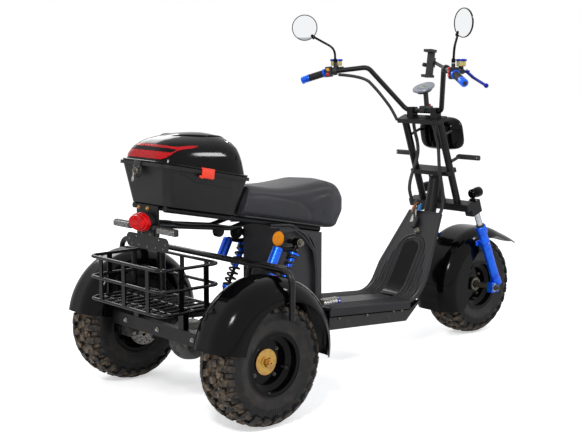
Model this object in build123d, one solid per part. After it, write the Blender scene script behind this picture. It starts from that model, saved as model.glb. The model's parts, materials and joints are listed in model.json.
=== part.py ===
from build123d import *
import os
from math import atan2, cos, degrees, pi, radians, sin, tan

# Electric tricycle, in millimetres. While it is modelled, +X is forward, +Y is the rider's left,
# +Z is up, and the origin is on the ground under the rear axle. Before the pieces are written they
# all move back, so that the origin is under the middle of the whole vehicle.

# ---------------------------------------------------------------- driving dimensions
# Wheels: three alike, 18 x 7.00-8.
wheelbase = 1620
rear_track = 820
tyre_radius = 228.5
tyre_width = 178
tyre_wall = 11
bead_radius = 103
rim_lip_radius = 115
rim_width = 152
rim_wall = 4
rim_well_radius = 84
rim_disc_thickness = 5
rim_dish = 53
hub_radius = 31
hub_flange_radius = 46
hub_flange_thickness = 5
shaft_radius = 12
running_fit = 0.05
soft_gap = 0.3
weld_depth = 1.5

# Steering: a raked head tube, with the wheel a little ahead of the steering axis.
steering_rake = 20
crown_x = wheelbase - 198
crown_z = 619
crown_depth = 44
head_tube_radius = 26
head_tube_low = 20
head_tube_high = 150
stem_radius = 15

# Floor and leg shield: the deck slopes down to the front, and the shield leans forward.
deck_rear_x = 586
deck_front_x = wheelbase - 580
deck_rear_z = 282
deck_front_z = 246
deck_half_width = 150
deck_thickness = 6
shield_foot_x = wheelbase - 455
shield_top_x = wheelbase - 304
shield_top_z = 592
shield_top_half_width = 88
shield_bend = 110
skirt_height = 34
pan_rear_z = 192
pan_front_z = 160
pan_wall = 3
rail_height = 40
rail_width = 40
rail_front_x = deck_front_x - 10
neck_radius = 27

# Battery box under the seat.
box_rear_x = 345
box_front_x = 580
box_half_width = 118
rail_y = box_half_width - 56
box_wall = 4
box_corner = 22
box_pocket_depth = 18
box_pocket_front_x = 536
box_pocket_top_z = 606
box_pocket_corner = 110
post_half_side = 12
shock_pin_x = 409
shock_pin_z = 567
shock_y = 150
shock_foot_x = 270
shock_foot_z = 300
shock_pin_radius = 9
spring_radius = 24
reservoir_radius = 20

# Rack, seat and top case share one slope.
rack_slope = 10.9
rack_plane_z = 719
rack_rear_x = -172
rack_front_x = 572
rack_tube_radius = 11
rack_half_width = 95
seat_rear_x = 116
seat_half_width = 142
seat_nose_x = 765
seat_edge_radius = 34
case_length = 400
case_width = 306
case_corner = 38
case_rim_height = 12
case_rim_overhang = 8
case_wall = 3.5
case_hinge_radius = 3
case_knuckle_radius = 6
tub_depth = 144
tub_floor_length = 322
tub_floor_width = 236
tub_floor_ahead = 18
lid_height = 122
case_front_x = seat_rear_x + 71.8

# Rear end: subframe, fenders, hoops and basket.
subframe_arm_y = 180
subframe_tube = 40
subframe_pivot_x = 387
subframe_pivot_radius = 17
subframe_pivot_z = 229
beam_x = -130
beam_low_z = 262
beam_height = 50
beam_thickness = 28
axle_tube_radius = 24
brake_y = rear_track / 2 - 120
brake_radius = 76
brake_thickness = 4
fender_radius = 270
fender_x = 20
fender_z = 256
fender_wall = 2.5
fender_shoulder = 80
fender_inner_y = rear_track / 2 - 112
fender_edge_x = 48
fender_edge_z = 245
fender_edge_radius = 196
fender_front_angle = -11
fender_rear_angle = 170.5
hoop_tube_radius = 11
hoop_leg_y = rear_track / 2 + 108
hoop_x = 50
hoop_z = 548
hoop_foot_z = 282
hoop_inner_y = rear_track / 2 - 145
hoop_leg_z = 380
basket_rear_x = -286
basket_front_x = -30
basket_half_width = 223
basket_corner = 30
basket_rail_z = (392, 474, 549)
basket_rod_radius = 6
basket_strip_width = 20
basket_strip_thickness = 6
lamp_z = 690

# Front end.
upright_y = 100
upright_radius = 16
crown_top_z = 1012
crown_thickness = 20
stanchion_y = 150
stanchion_radius = 14
slider_radius = 21
shock_rake = 25
front_axle_radius = 8
front_axle_reach = stanchion_y + 36
front_fender_radius = 272
front_fender_half_width = 112
front_fender_wall = 3
front_fender_shoulder = 65

# Handlebar and what it carries.
bar_radius = 11
bar_clamp_x = wheelbase - 324
bar_clamp_y = 100
bar_clamp_z = 1040
bar_bend = (bar_clamp_x - 130, 220, 1230)
grip_inner = (bar_clamp_x - 234, 362, 1209)
grip_outer = (bar_clamp_x - 294, 465, 1173)
grip_radius = 16
grip_length = 118
mirror_radius = 58
mirror_depth = 11
mirror_centre = (bar_clamp_x - 296, 455, 1405)
mirror_turn_left = 38
mirror_turn_right = 12
headlight_ahead = 62
headlight_height = 148
headlight_width = 230
headlight_depth = 58
display_radius = 50
spot_radius = 23

# Cords.
bar_loom_radius = 7
front_loom_radius = 8
rack_loom_radius = 4

# Sizes that follow from these.
axle_z = tyre_radius
fender_outer_y = hoop_leg_y - hoop_tube_radius - soft_gap
rack_drop = rack_tube_radius / cos(radians(rack_slope))
axle_housing_end = brake_y - 10

parts = {}


# ---------------------------------------------------------------- helpers
def slab(x0, x1, y0, y1, z0, z1):
    """Box between three pairs of limits."""
    middle = ((x0 + x1) / 2, (y0 + y1) / 2, (z0 + z1) / 2)
    return Pos(*middle) * Box(abs(x1 - x0), abs(y1 - y0), abs(z1 - z0))


def rod(start, end, radius):
    """Round bar from one point to another."""
    start, end = Vector(*start), Vector(*end)
    way = end - start
    base = Plane(origin=start, z_dir=way.normalized())
    return base * extrude(Circle(radius), way.length)


def bent_tube(points, radius, bend):
    """Round tube along straight runs joined by arcs of one bend radius."""
    path = FilletPolyline(*points, radius=bend)
    section = Plane(origin=path @ 0, z_dir=path % 0) * Circle(radius)
    return sweep(section, path=path)


def mirrored(piece):
    """The same piece on the other side of the vehicle."""
    return mirror(piece, about=Plane.XZ)


def pair(piece):
    """The piece and its mirror image, as separate solids."""
    return [piece, mirrored(piece)]


def keep(name, pieces):
    """Stores a node's solids under its name."""
    if not isinstance(pieces, list):
        pieces = [pieces]
    solids = []
    for piece in pieces:
        solids += list(piece.solids())
    parts[name] = solids


def cut(piece, *tools):
    """Takes each tool away from the piece in turn."""
    for tool in tools:
        piece = piece - tool
    return piece


def turned(profile_points, centre):
    """Revolves a closed outline of (offset along Y, radius) about a wheel's axle."""
    outline = Polyline(*[(radius, offset) for offset, radius in profile_points], close=True)
    face = make_face(outline)
    solid = revolve(face, axis=Axis.Y)
    return Pos(*centre) * solid


# Directions and lines shared by several pieces.
def steering_point(height, along_y=0, ahead=0):
    """Point at a distance up the steering axis from the lower crown, set off square to it."""
    rake = radians(steering_rake)
    x = crown_x - height * sin(rake) + ahead * cos(rake)
    z = crown_z + height * cos(rake) + ahead * sin(rake)
    return (x, along_y, z)


def deck_z(x):
    """Height of the deck's top."""
    share = (x - deck_rear_x) / (deck_front_x - deck_rear_x)
    return deck_rear_z + share * (deck_front_z - deck_rear_z)


def pan_z(x):
    """Height of the floor pan's underside."""
    share = (x - deck_rear_x) / (deck_front_x - deck_rear_x)
    return pan_rear_z + share * (pan_front_z - pan_rear_z)


def rack_z(x):
    """Height of the plane that the seat and the top case stand on."""
    return rack_plane_z - x * tan(radians(rack_slope))


def wheel_centre(name):
    """Centre of each wheel."""
    places = {
        "rear_left": (0, rear_track / 2, axle_z),
        "rear_right": (0, -rear_track / 2, axle_z),
        "front": (wheelbase, 0, axle_z),
    }
    return places[name]


# ---------------------------------------------------------------- wheels
def make_tyre(centre):
    """Balloon tyre, open to the rim, with rounded shoulders."""
    half = tyre_width / 2
    shoulder = 40
    bead = rim_width / 2 - rim_wall
    outer = make_face(
        Polyline(
            (bead_radius, -bead),
            (bead_radius + 12, -bead),
            (160, -half),
            (tyre_radius - shoulder, -half),
            (tyre_radius, -half + shoulder),
            (tyre_radius, half - shoulder),
            (tyre_radius - shoulder, half),
            (160, half),
            (bead_radius + 12, bead),
            (bead_radius, bead),
            close=True,
        )
    )
    corners = outer.vertices().filter_by(lambda v: v.X > bead_radius + 20)
    outer = fillet(corners, 18)
    inner = make_face(
        Polyline(
            (bead_radius - 1, -bead + tyre_wall),
            (155, -half + tyre_wall),
            (tyre_radius - shoulder, -half + tyre_wall),
            (tyre_radius - tyre_wall - 6, -half + shoulder + 6),
            (tyre_radius - tyre_wall - 6, half - shoulder - 6),
            (tyre_radius - shoulder, half - tyre_wall),
            (155, half - tyre_wall),
            (bead_radius - 1, bead - tyre_wall),
            close=True,
        )
    )
    return Pos(*centre) * revolve(outer - inner, axis=Axis.Y)


def make_rim(centre, outboard):
    """Drop-centre rim with lips and a disc set deep behind the outer lip."""
    half = rim_width / 2
    barrel = [
        (-half, bead_radius),
        (-half, rim_lip_radius),
        (-half + rim_wall, rim_lip_radius),
        (-half + rim_wall, bead_radius),
        (-half + 26, bead_radius),
        (-half + 36, rim_well_radius),
        (half - 36, rim_well_radius),
        (half - 26, bead_radius),
        (half - rim_wall, bead_radius),
        (half - rim_wall, rim_lip_radius),
        (half, rim_lip_radius),
        (half, bead_radius),
        (half - 0.5, bead_radius - rim_wall),
        (half - 26 - 2, bead_radius - rim_wall),
        (half - 36 - 2, rim_well_radius - rim_wall),
        (-half + 36 + 2, rim_well_radius - rim_wall),
        (-half + 26 + 2, bead_radius - rim_wall),
        (-half + 0.5, bead_radius - rim_wall),
    ]
    solid = turned(barrel, (0, 0, 0))
    disc_y = outboard * (half - rim_dish)
    disc = Pos(0, disc_y, 0) * Rot(90, 0, 0) * Cylinder(rim_well_radius - 2, rim_disc_thickness)
    hole = Pos(0, disc_y, 0) * Rot(90, 0, 0) * Cylinder(hub_radius, rim_disc_thickness + 2)
    return Pos(*centre) * (solid + disc - hole)


def make_rear_hub(centre, side):
    """Hub with its outer flange plate, and the half-shaft that turns with it."""
    half = rim_width / 2
    disc_out = half - rim_dish + rim_disc_thickness / 2
    x, y, z = centre
    flange = rod((x, y + side * disc_out, z), (x, y + side * (disc_out + hub_flange_thickness), z),
                 hub_flange_radius)
    seat_y = side * (brake_y + brake_thickness / 2)
    barrel = rod((x, y + side * disc_out, z), (x, seat_y, z), hub_radius)
    spigot = rod((x, seat_y, z), (x, seat_y - side * (brake_thickness + 4), z), shaft_radius + 8)
    shaft = rod((x, y + side * (disc_out + 24), z), (x, side * 70, z), shaft_radius)
    return flange + barrel + spigot + shaft


def make_front_hub(centre):
    """Front hub barrel with a flange on the rim's disc, bored for the fixed axle."""
    half = rim_width / 2
    x, y, z = centre
    disc_y = -(half - rim_dish)
    flange = rod((x, disc_y - rim_disc_thickness / 2, z),
                 (x, disc_y - rim_disc_thickness / 2 - hub_flange_thickness, z), hub_flange_radius)
    barrel = rod((x, disc_y - rim_disc_thickness / 2 - 18, z), (x, 60, z), hub_radius)
    bore = rod((x, -90, z), (x, 90, z), front_axle_radius + running_fit)
    return flange + barrel - bore


def make_wheels():
    for name, side in (("rear_left", 1), ("rear_right", -1)):
        centre = wheel_centre(name)
        keep(name + "_tyre", make_tyre(centre))
        keep(name + "_rim", make_rim(centre, side))
        keep(name + "_hub", make_rear_hub(centre, side))
    centre = wheel_centre("front")
    keep("front_tyre", make_tyre(centre))
    keep("front_rim", make_rim(centre, -1))
    keep("front_hub", make_front_hub(centre))


# ---------------------------------------------------------------- main frame and body
def make_frame():
    """Twin floor rails, seat posts, neck and head tube, with the pin that holds the shocks."""
    rails = []
    for side in (1, -1):
        outline = Polyline(
            (box_rear_x + 10, pan_z(box_rear_x + 10) + pan_wall),
            (rail_front_x, pan_z(rail_front_x) + pan_wall),
            (rail_front_x, pan_z(rail_front_x) + pan_wall + rail_height),
            (box_rear_x + 10, pan_z(box_rear_x + 10) + pan_wall + rail_height),
            close=True,
        )
        face = Plane.XZ * make_face(outline)
        rail = extrude(face, rail_width / 2, both=True)
        rails.append(Pos(0, side * rail_y, 0) * rail)
    cross_x = rail_front_x - 20
    cross_z = pan_z(cross_x) + pan_wall + rail_height / 2
    cross = slab(cross_x - 20, cross_x + 20, -rail_y, rail_y, cross_z - 18, cross_z + 18)
    rear_cross_x = box_rear_x + 105
    rear_z = pan_z(rear_cross_x) + pan_wall + rail_height / 2
    rear_cross = slab(rear_cross_x - 20, rear_cross_x + 20, -rail_y, rail_y, rear_z - 18, rear_z + 18)
    posts = []
    for x in post_places():
        foot = pan_z(x) + pan_wall + rail_height - 2
        top = rack_z(x + 12) - 2 * rack_drop
        for side in (1, -1):
            y = side * post_y()
            posts.append(slab(x - post_half_side, x + post_half_side, y - post_half_side,
                              y + post_half_side, foot, top))
    head_low = steering_point(head_tube_low)
    head_high = steering_point(head_tube_high)
    head = rod(head_low, head_high, head_tube_radius)
    neck = neck_tube(neck_radius)
    bore = rod(steering_point(-40), steering_point(head_tube_high + 40), stem_radius + running_fit)
    reach = shock_y + 26
    pin = rod((shock_pin_x, -reach, shock_pin_z), (shock_pin_x, reach, shock_pin_z), shock_pin_radius)
    pivot = rod((subframe_pivot_x, -300, subframe_pivot_z), (subframe_pivot_x, 300, subframe_pivot_z),
                subframe_pivot_radius)
    frame = rails[0] + rails[1] + cross + rear_cross + head + neck
    for post in posts:
        frame = frame + post
    return frame + pin - bore - pivot


def neck_tube(radius):
    """Neck from the front cross member, up ahead of the leg shield to the head tube."""
    lean = shield_lean()
    offset = deck_thickness + neck_radius + 4
    top_x = shield_top_x + offset * sin(lean)
    top_z = shield_top_z - offset * cos(lean)
    foot_z = pan_z(rail_front_x) + pan_wall + neck_radius + 2
    foot_x = top_x - (top_z - foot_z) / tan(lean)
    points = [
        (rail_front_x - 30, 0, foot_z),
        (foot_x, 0, foot_z),
        (top_x - 2, 0, top_z - 3),
        steering_point(head_tube_high - 26),
    ]
    return bent_tube(points, radius, 60)


def shield_corner_x():
    """Place where the deck's line and the leg shield's line would meet."""
    return shield_foot_x - 62


def shield_lean():
    """Angle of the leg shield above level, in radians."""
    corner = shield_corner_x()
    return atan2(shield_top_z - deck_z(corner), shield_top_x - corner)


def shield_place(down, along_y, out=0):
    """Place on the leg shield's face to the rider: its X runs up the shield, its Z out of it."""
    lean = shield_lean()
    x = shield_top_x - down * cos(lean) - out * sin(lean)
    z = shield_top_z - down * sin(lean) + out * cos(lean)
    return Location((x, along_y, z), (0, -degrees(lean), 0))


def make_footboard():
    """Moulded deck that curves up into the leg shield, with its sides turned down."""
    corner_x = shield_corner_x()
    path = FilletPolyline(
        (deck_rear_x, 0, deck_z(deck_rear_x)),
        (corner_x, 0, deck_z(corner_x)),
        (shield_top_x, 0, shield_top_z),
        radius=shield_bend,
    )
    start = Plane(origin=path @ 0, z_dir=path % 0, x_dir=(0, 1, 0))
    below = -deck_thickness / 2 if start.y_dir.Z > 0 else deck_thickness / 2
    profile = Pos(0, below) * Rectangle(2 * deck_half_width, deck_thickness)
    sheet = sweep(start * profile, path=path)
    skirts = []
    for side in (1, -1):
        y = side * (deck_half_width - deck_thickness / 2)
        outline = Polyline(
            (deck_rear_x, deck_z(deck_rear_x) - 1),
            (deck_front_x + 20, deck_z(deck_front_x + 20) - 1),
            (deck_front_x + 20, deck_z(deck_front_x + 20) - skirt_height),
            (deck_rear_x, deck_z(deck_rear_x) - skirt_height),
            close=True,
        )
        skirt = extrude(Plane.XZ * make_face(outline), deck_thickness / 2, both=True)
        skirts.append(Pos(0, y, 0) * skirt)
    board = sheet + skirts[0] + skirts[1]
    plan = Polyline(
        (deck_rear_x - 10, -deck_half_width - 5),
        (shield_foot_x, -deck_half_width - 5),
        (shield_top_x + 20, -shield_top_half_width),
        (shield_top_x + 20, shield_top_half_width),
        (shield_foot_x, deck_half_width + 5),
        (deck_rear_x - 10, deck_half_width + 5),
        close=True,
    )
    tapered = extrude(make_face(plan), 900)
    return board & tapered


def make_floor_pan():
    """Folded metal tray under the deck, as wide as the deck, with upturned sides."""
    x0, x1 = deck_rear_x + 2, deck_front_x
    side_top = 40
    outline = Polyline(
        (x0, pan_z(x0)),
        (x1, pan_z(x1)),
        (x1 + 90, pan_z(x1) + 74),
        (x1 + 86, pan_z(x1) + 78),
        (x1 + 20, deck_z(x1 + 20) - side_top),
        (x0, deck_z(x0) - side_top),
        close=True,
    )
    block = extrude(Plane.XZ * make_face(outline), deck_half_width - deck_thickness, both=True)
    inner = Polyline(
        (x0 - 5, pan_z(x0 - 5) + pan_wall),
        (x1, pan_z(x1) + pan_wall),
        (x1 + 88, pan_z(x1) + 77),
        (x1 + 88, pan_z(x1) + 200),
        (x0 - 5, pan_z(x0) + 200),
        close=True,
    )
    hollow = extrude(Plane.XZ * make_face(inner), deck_half_width - deck_thickness - pan_wall, both=True)
    return block - hollow - neck_tube(neck_radius + soft_gap)


def make_battery_box():
    """Box that carries the seat, with a recessed arch in each side for the shock."""
    top_rear = rack_z(box_rear_x) - 2 * rack_drop
    top_front = rack_z(box_front_x) - 2 * rack_drop
    bottom = deck_rear_z - 6
    outline = Polyline(
        (box_rear_x, bottom), (box_front_x, bottom), (box_front_x, top_front), (box_rear_x, top_rear),
        close=True,
    )
    body = extrude(Plane.XZ * make_face(outline), box_half_width, both=True)
    body = fillet(body.edges().filter_by(Axis.Z).group_by(Axis.X)[-1], box_corner)
    inside = Polyline(
        (box_rear_x + box_wall, bottom + box_wall),
        (box_front_x - box_wall, bottom + box_wall),
        (box_front_x - box_wall, top_front + 30),
        (box_rear_x + box_wall, top_rear + 30),
        close=True,
    )
    narrow = box_half_width - box_pocket_depth - box_wall
    hollow = extrude(Plane.XZ * make_face(inside), narrow, both=True)
    pocket_face = make_face(
        Polyline(
            (box_rear_x - 20, bottom - 20),
            (box_pocket_front_x, bottom - 20),
            (box_pocket_front_x, box_pocket_top_z),
            (box_rear_x - 20, box_pocket_top_z),
            close=True,
        )
    )
    corner = pocket_face.vertices().sort_by(lambda v: v.X + v.Y)[-1]
    pocket_face = fillet(corner, box_pocket_corner)
    pocket = extrude(Plane.XZ * pocket_face, box_pocket_depth)
    body = body - hollow
    body = body - Pos(0, -box_half_width + box_pocket_depth, 0) * pocket
    body = body - Pos(0, box_half_width, 0) * pocket
    body = body - rod((shock_pin_x, -200, shock_pin_z), (shock_pin_x, 200, shock_pin_z),
                      shock_pin_radius)
    for x in post_places():
        for side in (1, -1):
            y = side * post_y()
            body = body - slab(x - post_half_side, x + post_half_side, y - post_half_side,
                               y + post_half_side, bottom - 1, bottom + box_wall + 1)
    return body


def post_places():
    """Places of the seat posts along the vehicle."""
    return (shock_pin_x, box_front_x - 30)


def post_y():
    """Seat posts stand on the floor rails, just outside their middle."""
    return rail_y + 4


def make_battery_block():
    """Battery pack, one plain block on the box's floor between the seat posts."""
    floor = deck_rear_z - 6 + box_wall
    half = box_half_width - box_pocket_depth - box_wall - 24
    return slab(shock_pin_x + 16, box_front_x - 46, -half, half, floor, floor + 230)


def rack_lower_z(x):
    """Height of the axis of the rack's two lower tubes."""
    front = rack_z(150) - 52
    rear = rack_z(rack_rear_x) - 72
    return rear + (x - rack_rear_x) / (150 - rack_rear_x) * (front - rear)


def make_seat_rack():
    """Tube rack that slopes up to the rear, under the seat and the top case."""
    drop = rack_drop
    rack = None
    for side in (1, -1):
        y = side * rack_half_width
        tube = rod((rack_rear_x, y, rack_z(rack_rear_x) - drop),
                   (rack_front_x, y, rack_z(rack_front_x) - drop), rack_tube_radius)
        rack = tube if rack is None else rack + tube
    for x in (rack_rear_x + 12, 40, 250, rack_front_x - 14):
        z = rack_z(x) - drop
        rack = rack + slab(x - 12, x + 12, -rack_half_width, rack_half_width, z - 4, z + 4)
    for side in (1, -1):
        y = side * 60
        rack = rack + bent_tube([
            (250, y, rack_z(250) - drop),
            (150, y, rack_lower_z(150)),
            (rack_rear_x - 4, y, rack_lower_z(rack_rear_x)),
        ], 9, 60)
    x = rack_rear_x - 6
    return rack + slab(x - 3, x + 3, -66, 66, 640, rack_z(x) - 4)


def make_seat():
    """One-piece saddle: low at the rear, dished in the middle, with a high rounded nose."""
    rear_bottom = (seat_rear_x + 30, rack_z(seat_rear_x + 30) + soft_gap)
    belly = (560, rack_z(560) + soft_gap)
    back_top = (seat_rear_x + 68, 799)
    brow = (708, 771)
    edge = Polyline(rear_bottom, belly)
    nose = Spline(belly, (670, 602), (742, 628), (seat_nose_x, 672), (745, 733), brow)
    top = Spline(brow, (658, 788), (576, 787), (458, 777), (343, 776), (247, 789), back_top)
    back = Polyline(back_top, rear_bottom)
    face = make_face(Wire([*edge.edges(), *nose.edges(), *top.edges(), *back.edges()]))
    body = extrude(Plane.XZ * face, seat_half_width, both=True)
    high_sides = body.edges().filter_by(
        lambda e: abs(abs((e @ 0.5).Y) - seat_half_width) < 0.1 and (e @ 0.5).Z > 770)
    body = fillet(high_sides, seat_edge_radius)
    plan = make_face(
        Wire([
            *Polyline((560, -seat_half_width), (0, -seat_half_width), (0, seat_half_width),
                      (560, seat_half_width)).edges(),
            *Spline((560, seat_half_width), (630, 133), (692, 105), (742, 62), (seat_nose_x + 2, 0),
                    (742, -62), (692, -105), (630, -133), (560, -seat_half_width),
                    tangents=((1, 0), (-1, 0))).edges(),
        ])
    )
    return body & extrude(plan, 1200)


def case_frame():
    """Frame of the top case: its origin is the middle of the rim, sloped like the rack."""
    slope = radians(rack_slope)
    x = case_front_x - case_length / 2 * cos(slope)
    z = rack_z(x) + tub_depth / cos(slope)
    return Location((x, 0, z), (0, rack_slope, 0))


def rounded(length, width, corner):
    """Rounded rectangle, long side forward."""
    return RectangleRounded(length, width, corner)


def make_case_tub():
    """Lower half of the top case: a tapered tub with a rim ledge and hinge ears in front."""
    inset = 2 * case_rim_overhang
    length, width = case_length - inset, case_width - inset
    outer = loft([
        rounded(length, width, case_corner - 8),
        Pos(tub_floor_ahead, 0, -tub_depth) * rounded(tub_floor_length, tub_floor_width, 34),
    ])
    inner = loft([
        Pos(0, 0, 1) * rounded(length - 2 * case_wall, width - 2 * case_wall, case_corner - 11),
        Pos(tub_floor_ahead, 0, -tub_depth + case_wall)
        * rounded(tub_floor_length - 2 * case_wall, tub_floor_width - 2 * case_wall, 31),
    ])
    ledge = extrude(rounded(case_length, case_width, case_corner), -case_rim_height)
    ledge = ledge - Pos(0, 0, 1) * extrude(rounded(length - 2, width - 2, case_corner - 9),
                                           -case_rim_height - 3)
    tub = outer + ledge - inner
    hinge_x, hinge_z = case_hinge()
    for side in (1, -1):
        for y in (62, 98):
            tub = tub + slab(case_length / 2 - case_rim_overhang + 3.5, hinge_x + 6, side * y - 3.5,
                             side * y + 3.5, -case_rim_height, hinge_z + 6)
    return case_frame() * (tub - case_pin(case_hinge_radius))


def case_hinge():
    """Hinge axis of the lid in the case's frame: just ahead of the rim's front edge."""
    return case_length / 2 + case_knuckle_radius + 1, case_knuckle_radius - 2


def case_pin(radius):
    """Hinge pin on each side, in the case's frame."""
    hinge_x, hinge_z = case_hinge()
    pins = [rod((hinge_x, side * 58, hinge_z), (hinge_x, side * 102, hinge_z), radius)
            for side in (1, -1)]
    return pins[0] + pins[1]


def make_case_hinge_pins():
    return [case_frame() * pin for pin in case_pin(case_hinge_radius).solids()]


def make_case_lid():
    """Domed lid, a hollow shell that stands on the rim, with a knuckle on each hinge pin."""
    inset = 2 * case_rim_overhang
    length, width = case_length - inset, case_width - inset
    shoulder = lid_height * 0.62
    outer = loft([
        Pos(0, 0, soft_gap) * rounded(length, width, case_corner - 8),
        Pos(-2, 0, shoulder) * rounded(case_length - 34, case_width - 44, case_corner),
        Pos(-6, 0, lid_height) * rounded(case_length - 120, case_width - 110, 44),
    ])
    inner = loft([
        Pos(0, 0, -1) * rounded(length - 2 * case_wall, width - 2 * case_wall, case_corner - 11),
        Pos(-2, 0, shoulder - 2) * rounded(case_length - 41, case_width - 51, case_corner - 3),
        Pos(-6, 0, lid_height - 4) * rounded(case_length - 130, case_width - 120, 41),
    ])
    lid = outer - inner
    hinge_x, hinge_z = case_hinge()
    half = (98 - 62 - 7) / 2 - soft_gap
    for side in (1, -1):
        knuckle = rod((hinge_x, side * 80 - half, hinge_z), (hinge_x, side * 80 + half, hinge_z),
                      case_knuckle_radius)
        web = slab(length / 2 - 2, hinge_x, side * 80 - half, side * 80 + half, hinge_z,
                   hinge_z + case_knuckle_radius)
        lid = lid + knuckle + web
    return case_frame() * (lid - case_pin(case_hinge_radius + running_fit))


def make_case_catches():
    """Lock at the rear and a side tab on each side of the tub."""
    frame = case_frame()
    rear = -case_length / 2
    lock = frame * (Pos(rear - 9, 0, -30) * Box(18, 44, 46))
    lock = lock + frame * (Pos(rear + 4, 0, -30) * Box(16, 34, 30))
    lock = lock - case_frame() * loft([
        rounded(case_length - 2 * case_rim_overhang, case_width, case_corner),
        Pos(tub_floor_ahead, 0, -tub_depth) * rounded(tub_floor_length, tub_floor_width, 34),
    ]) - frame * extrude(rounded(case_length, case_width, case_corner), -case_rim_height)
    tab = Box(56, 5, 34)
    tabs = [frame * (Pos(-14, side * (case_width / 2 + 2.5), -9) * tab) for side in (1, -1)]
    return [lock] + tabs


# ---------------------------------------------------------------- rear end
def make_subframe():
    """Swinging subframe: two arms from the pivot, over the axle to the rear cross beam."""
    half = subframe_tube / 2
    beam_half = beam_thickness / 2
    arm_line = Polyline(
        (beam_x + 10, beam_low_z + 8),
        (60, beam_low_z + 4),
        (300, 250),
        (subframe_pivot_x + 20, subframe_pivot_z - 18),
        (subframe_pivot_x + 20, subframe_pivot_z + 18),
        (300, 292),
        (60, beam_low_z + 44),
        (beam_x + 10, beam_low_z + 44),
        close=True,
    )
    arm = extrude(Plane.XZ * make_face(arm_line), half, both=True)
    frame = slab(beam_x - beam_half, beam_x + beam_half, -fender_inner_y, fender_inner_y, beam_low_z,
                 beam_low_z + beam_height)
    frame = frame + rod((subframe_pivot_x, -subframe_arm_y - half, subframe_pivot_z),
                        (subframe_pivot_x, subframe_arm_y + half, subframe_pivot_z),
                        subframe_pivot_radius)
    stay_x = hoop_x + 24
    for side in (1, -1):
        y = side * subframe_arm_y
        frame = frame + Pos(0, y, 0) * arm
        frame = frame + slab(-30, 30, y - half, y + half, axle_z - 30, beam_low_z + 20)
        y = side * shock_y
        frame = frame + slab(shock_foot_x - 20, shock_foot_x + 20, y - 14, y + 14, 270, shock_foot_z)
        outer = side * fender_inner_y
        frame = frame + slab(beam_x - 10, beam_x + 10, outer - side * 6, outer, beam_low_z + 20, 420)
        frame = frame + rod((stay_x, y, hoop_foot_z),
                            (stay_x, side * (hoop_inner_y + 14), hoop_foot_z), 12)
    return frame - rod((0, -300, axle_z), (0, 300, axle_z), axle_tube_radius)


def make_axle_housing():
    """Axle tube on each side of the gear case, bored for the half-shafts."""
    end_y = axle_housing_end
    tube = rod((0, -end_y, axle_z), (0, end_y, axle_z), axle_tube_radius)
    case = Pos(0, 0, axle_z) * Sphere(78)
    case = case & slab(-78, 78, -56, 56, axle_z - 70, axle_z + 70)
    bore = rod((0, -end_y - 5, axle_z), (0, end_y + 5, axle_z), shaft_radius + running_fit)
    plug = rod((0, -60, axle_z), (0, 60, axle_z), 40)
    return tube + case - bore + plug


def make_drive_motor():
    """Motor ahead of the gear case, one plain round block."""
    return rod((78, 0, axle_z + 8), (240, 0, axle_z + 8), 62)


def make_brake():
    """Brake disc on the left half-shaft."""
    near, far = brake_y - brake_thickness / 2, brake_y + brake_thickness / 2
    disc = rod((0, near, axle_z), (0, far, axle_z), brake_radius)
    return disc - rod((0, near - 1, axle_z), (0, far + 1, axle_z), shaft_radius + 8)


def make_caliper():
    """Caliper around the disc's rear edge, on an arm from the subframe's left side."""
    body = slab(-92, -44, brake_y - 24, brake_y + 24, axle_z - 26, axle_z + 26)
    slot = slab(-80, -30, brake_y - 5, brake_y + 5, axle_z - 40, axle_z + 40)
    arm_y = brake_y - 24
    arm = slab(-80, -56, arm_y - 8, arm_y, axle_z, beam_low_z + 30)
    reach = slab(-80, -56, subframe_arm_y + subframe_tube / 2, arm_y - 4, beam_low_z + 12,
                 beam_low_z + 30)
    return body + arm + reach - slot


def make_shock(side):
    """Shock absorber: eye at the top pin, spring body, and its reservoir behind."""
    y = side * shock_y
    top = Vector(shock_pin_x, y, shock_pin_z)
    bottom = Vector(shock_foot_x, y, shock_foot_z)
    way = (bottom - top).normalized()
    eye = rod((shock_pin_x, y - 13, shock_pin_z), (shock_pin_x, y + 13, shock_pin_z), 17)
    damper = rod(tuple(top), tuple(bottom), 7)
    spring = rod(tuple(top + way * 40), tuple(top + way * 230), spring_radius)
    can_top = top + way * 6 + Vector(-96, 0, -2)
    can = rod(tuple(can_top), tuple(can_top + way * 92), reservoir_radius)
    bridge = rod(tuple(top + way * 34), tuple(can_top + way * 4), 9)
    hole = rod((shock_pin_x, y - 30, shock_pin_z), (shock_pin_x, y + 30, shock_pin_z),
               shock_pin_radius)
    under = slab(200, 330, y - 60, y + 60, 200, shock_foot_z)
    return cut(eye + damper + spring + can + bridge, hole, under)


def arched(path, half_width, depth, wall, shoulder):
    """C section with rounded shoulders, carried along a path in a plane of constant Y."""
    outer = make_face(Polyline((-half_width, -depth), (-half_width, 0), (half_width, 0),
                               (half_width, -depth), close=True))
    outer = fillet(outer.vertices().filter_by(lambda v: v.Y > -1), shoulder)
    side = half_width - wall
    inner = make_face(Polyline((-side, -depth - 1), (-side, -wall), (side, -wall),
                               (side, -depth - 1), close=True))
    inner = fillet(inner.vertices().filter_by(lambda v: v.Y > -wall - 1), shoulder - wall)
    start = Plane(origin=path @ 0, z_dir=path % 0, x_dir=(0, 1, 0))
    return sweep(start * (outer - inner), path=path)


def arc_point(centre_x, centre_z, radius, angle):
    """Point of a circle in the XZ plane, its angle measured up from forward."""
    return centre_x + radius * cos(radians(angle)), centre_z + radius * sin(radians(angle))


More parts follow.
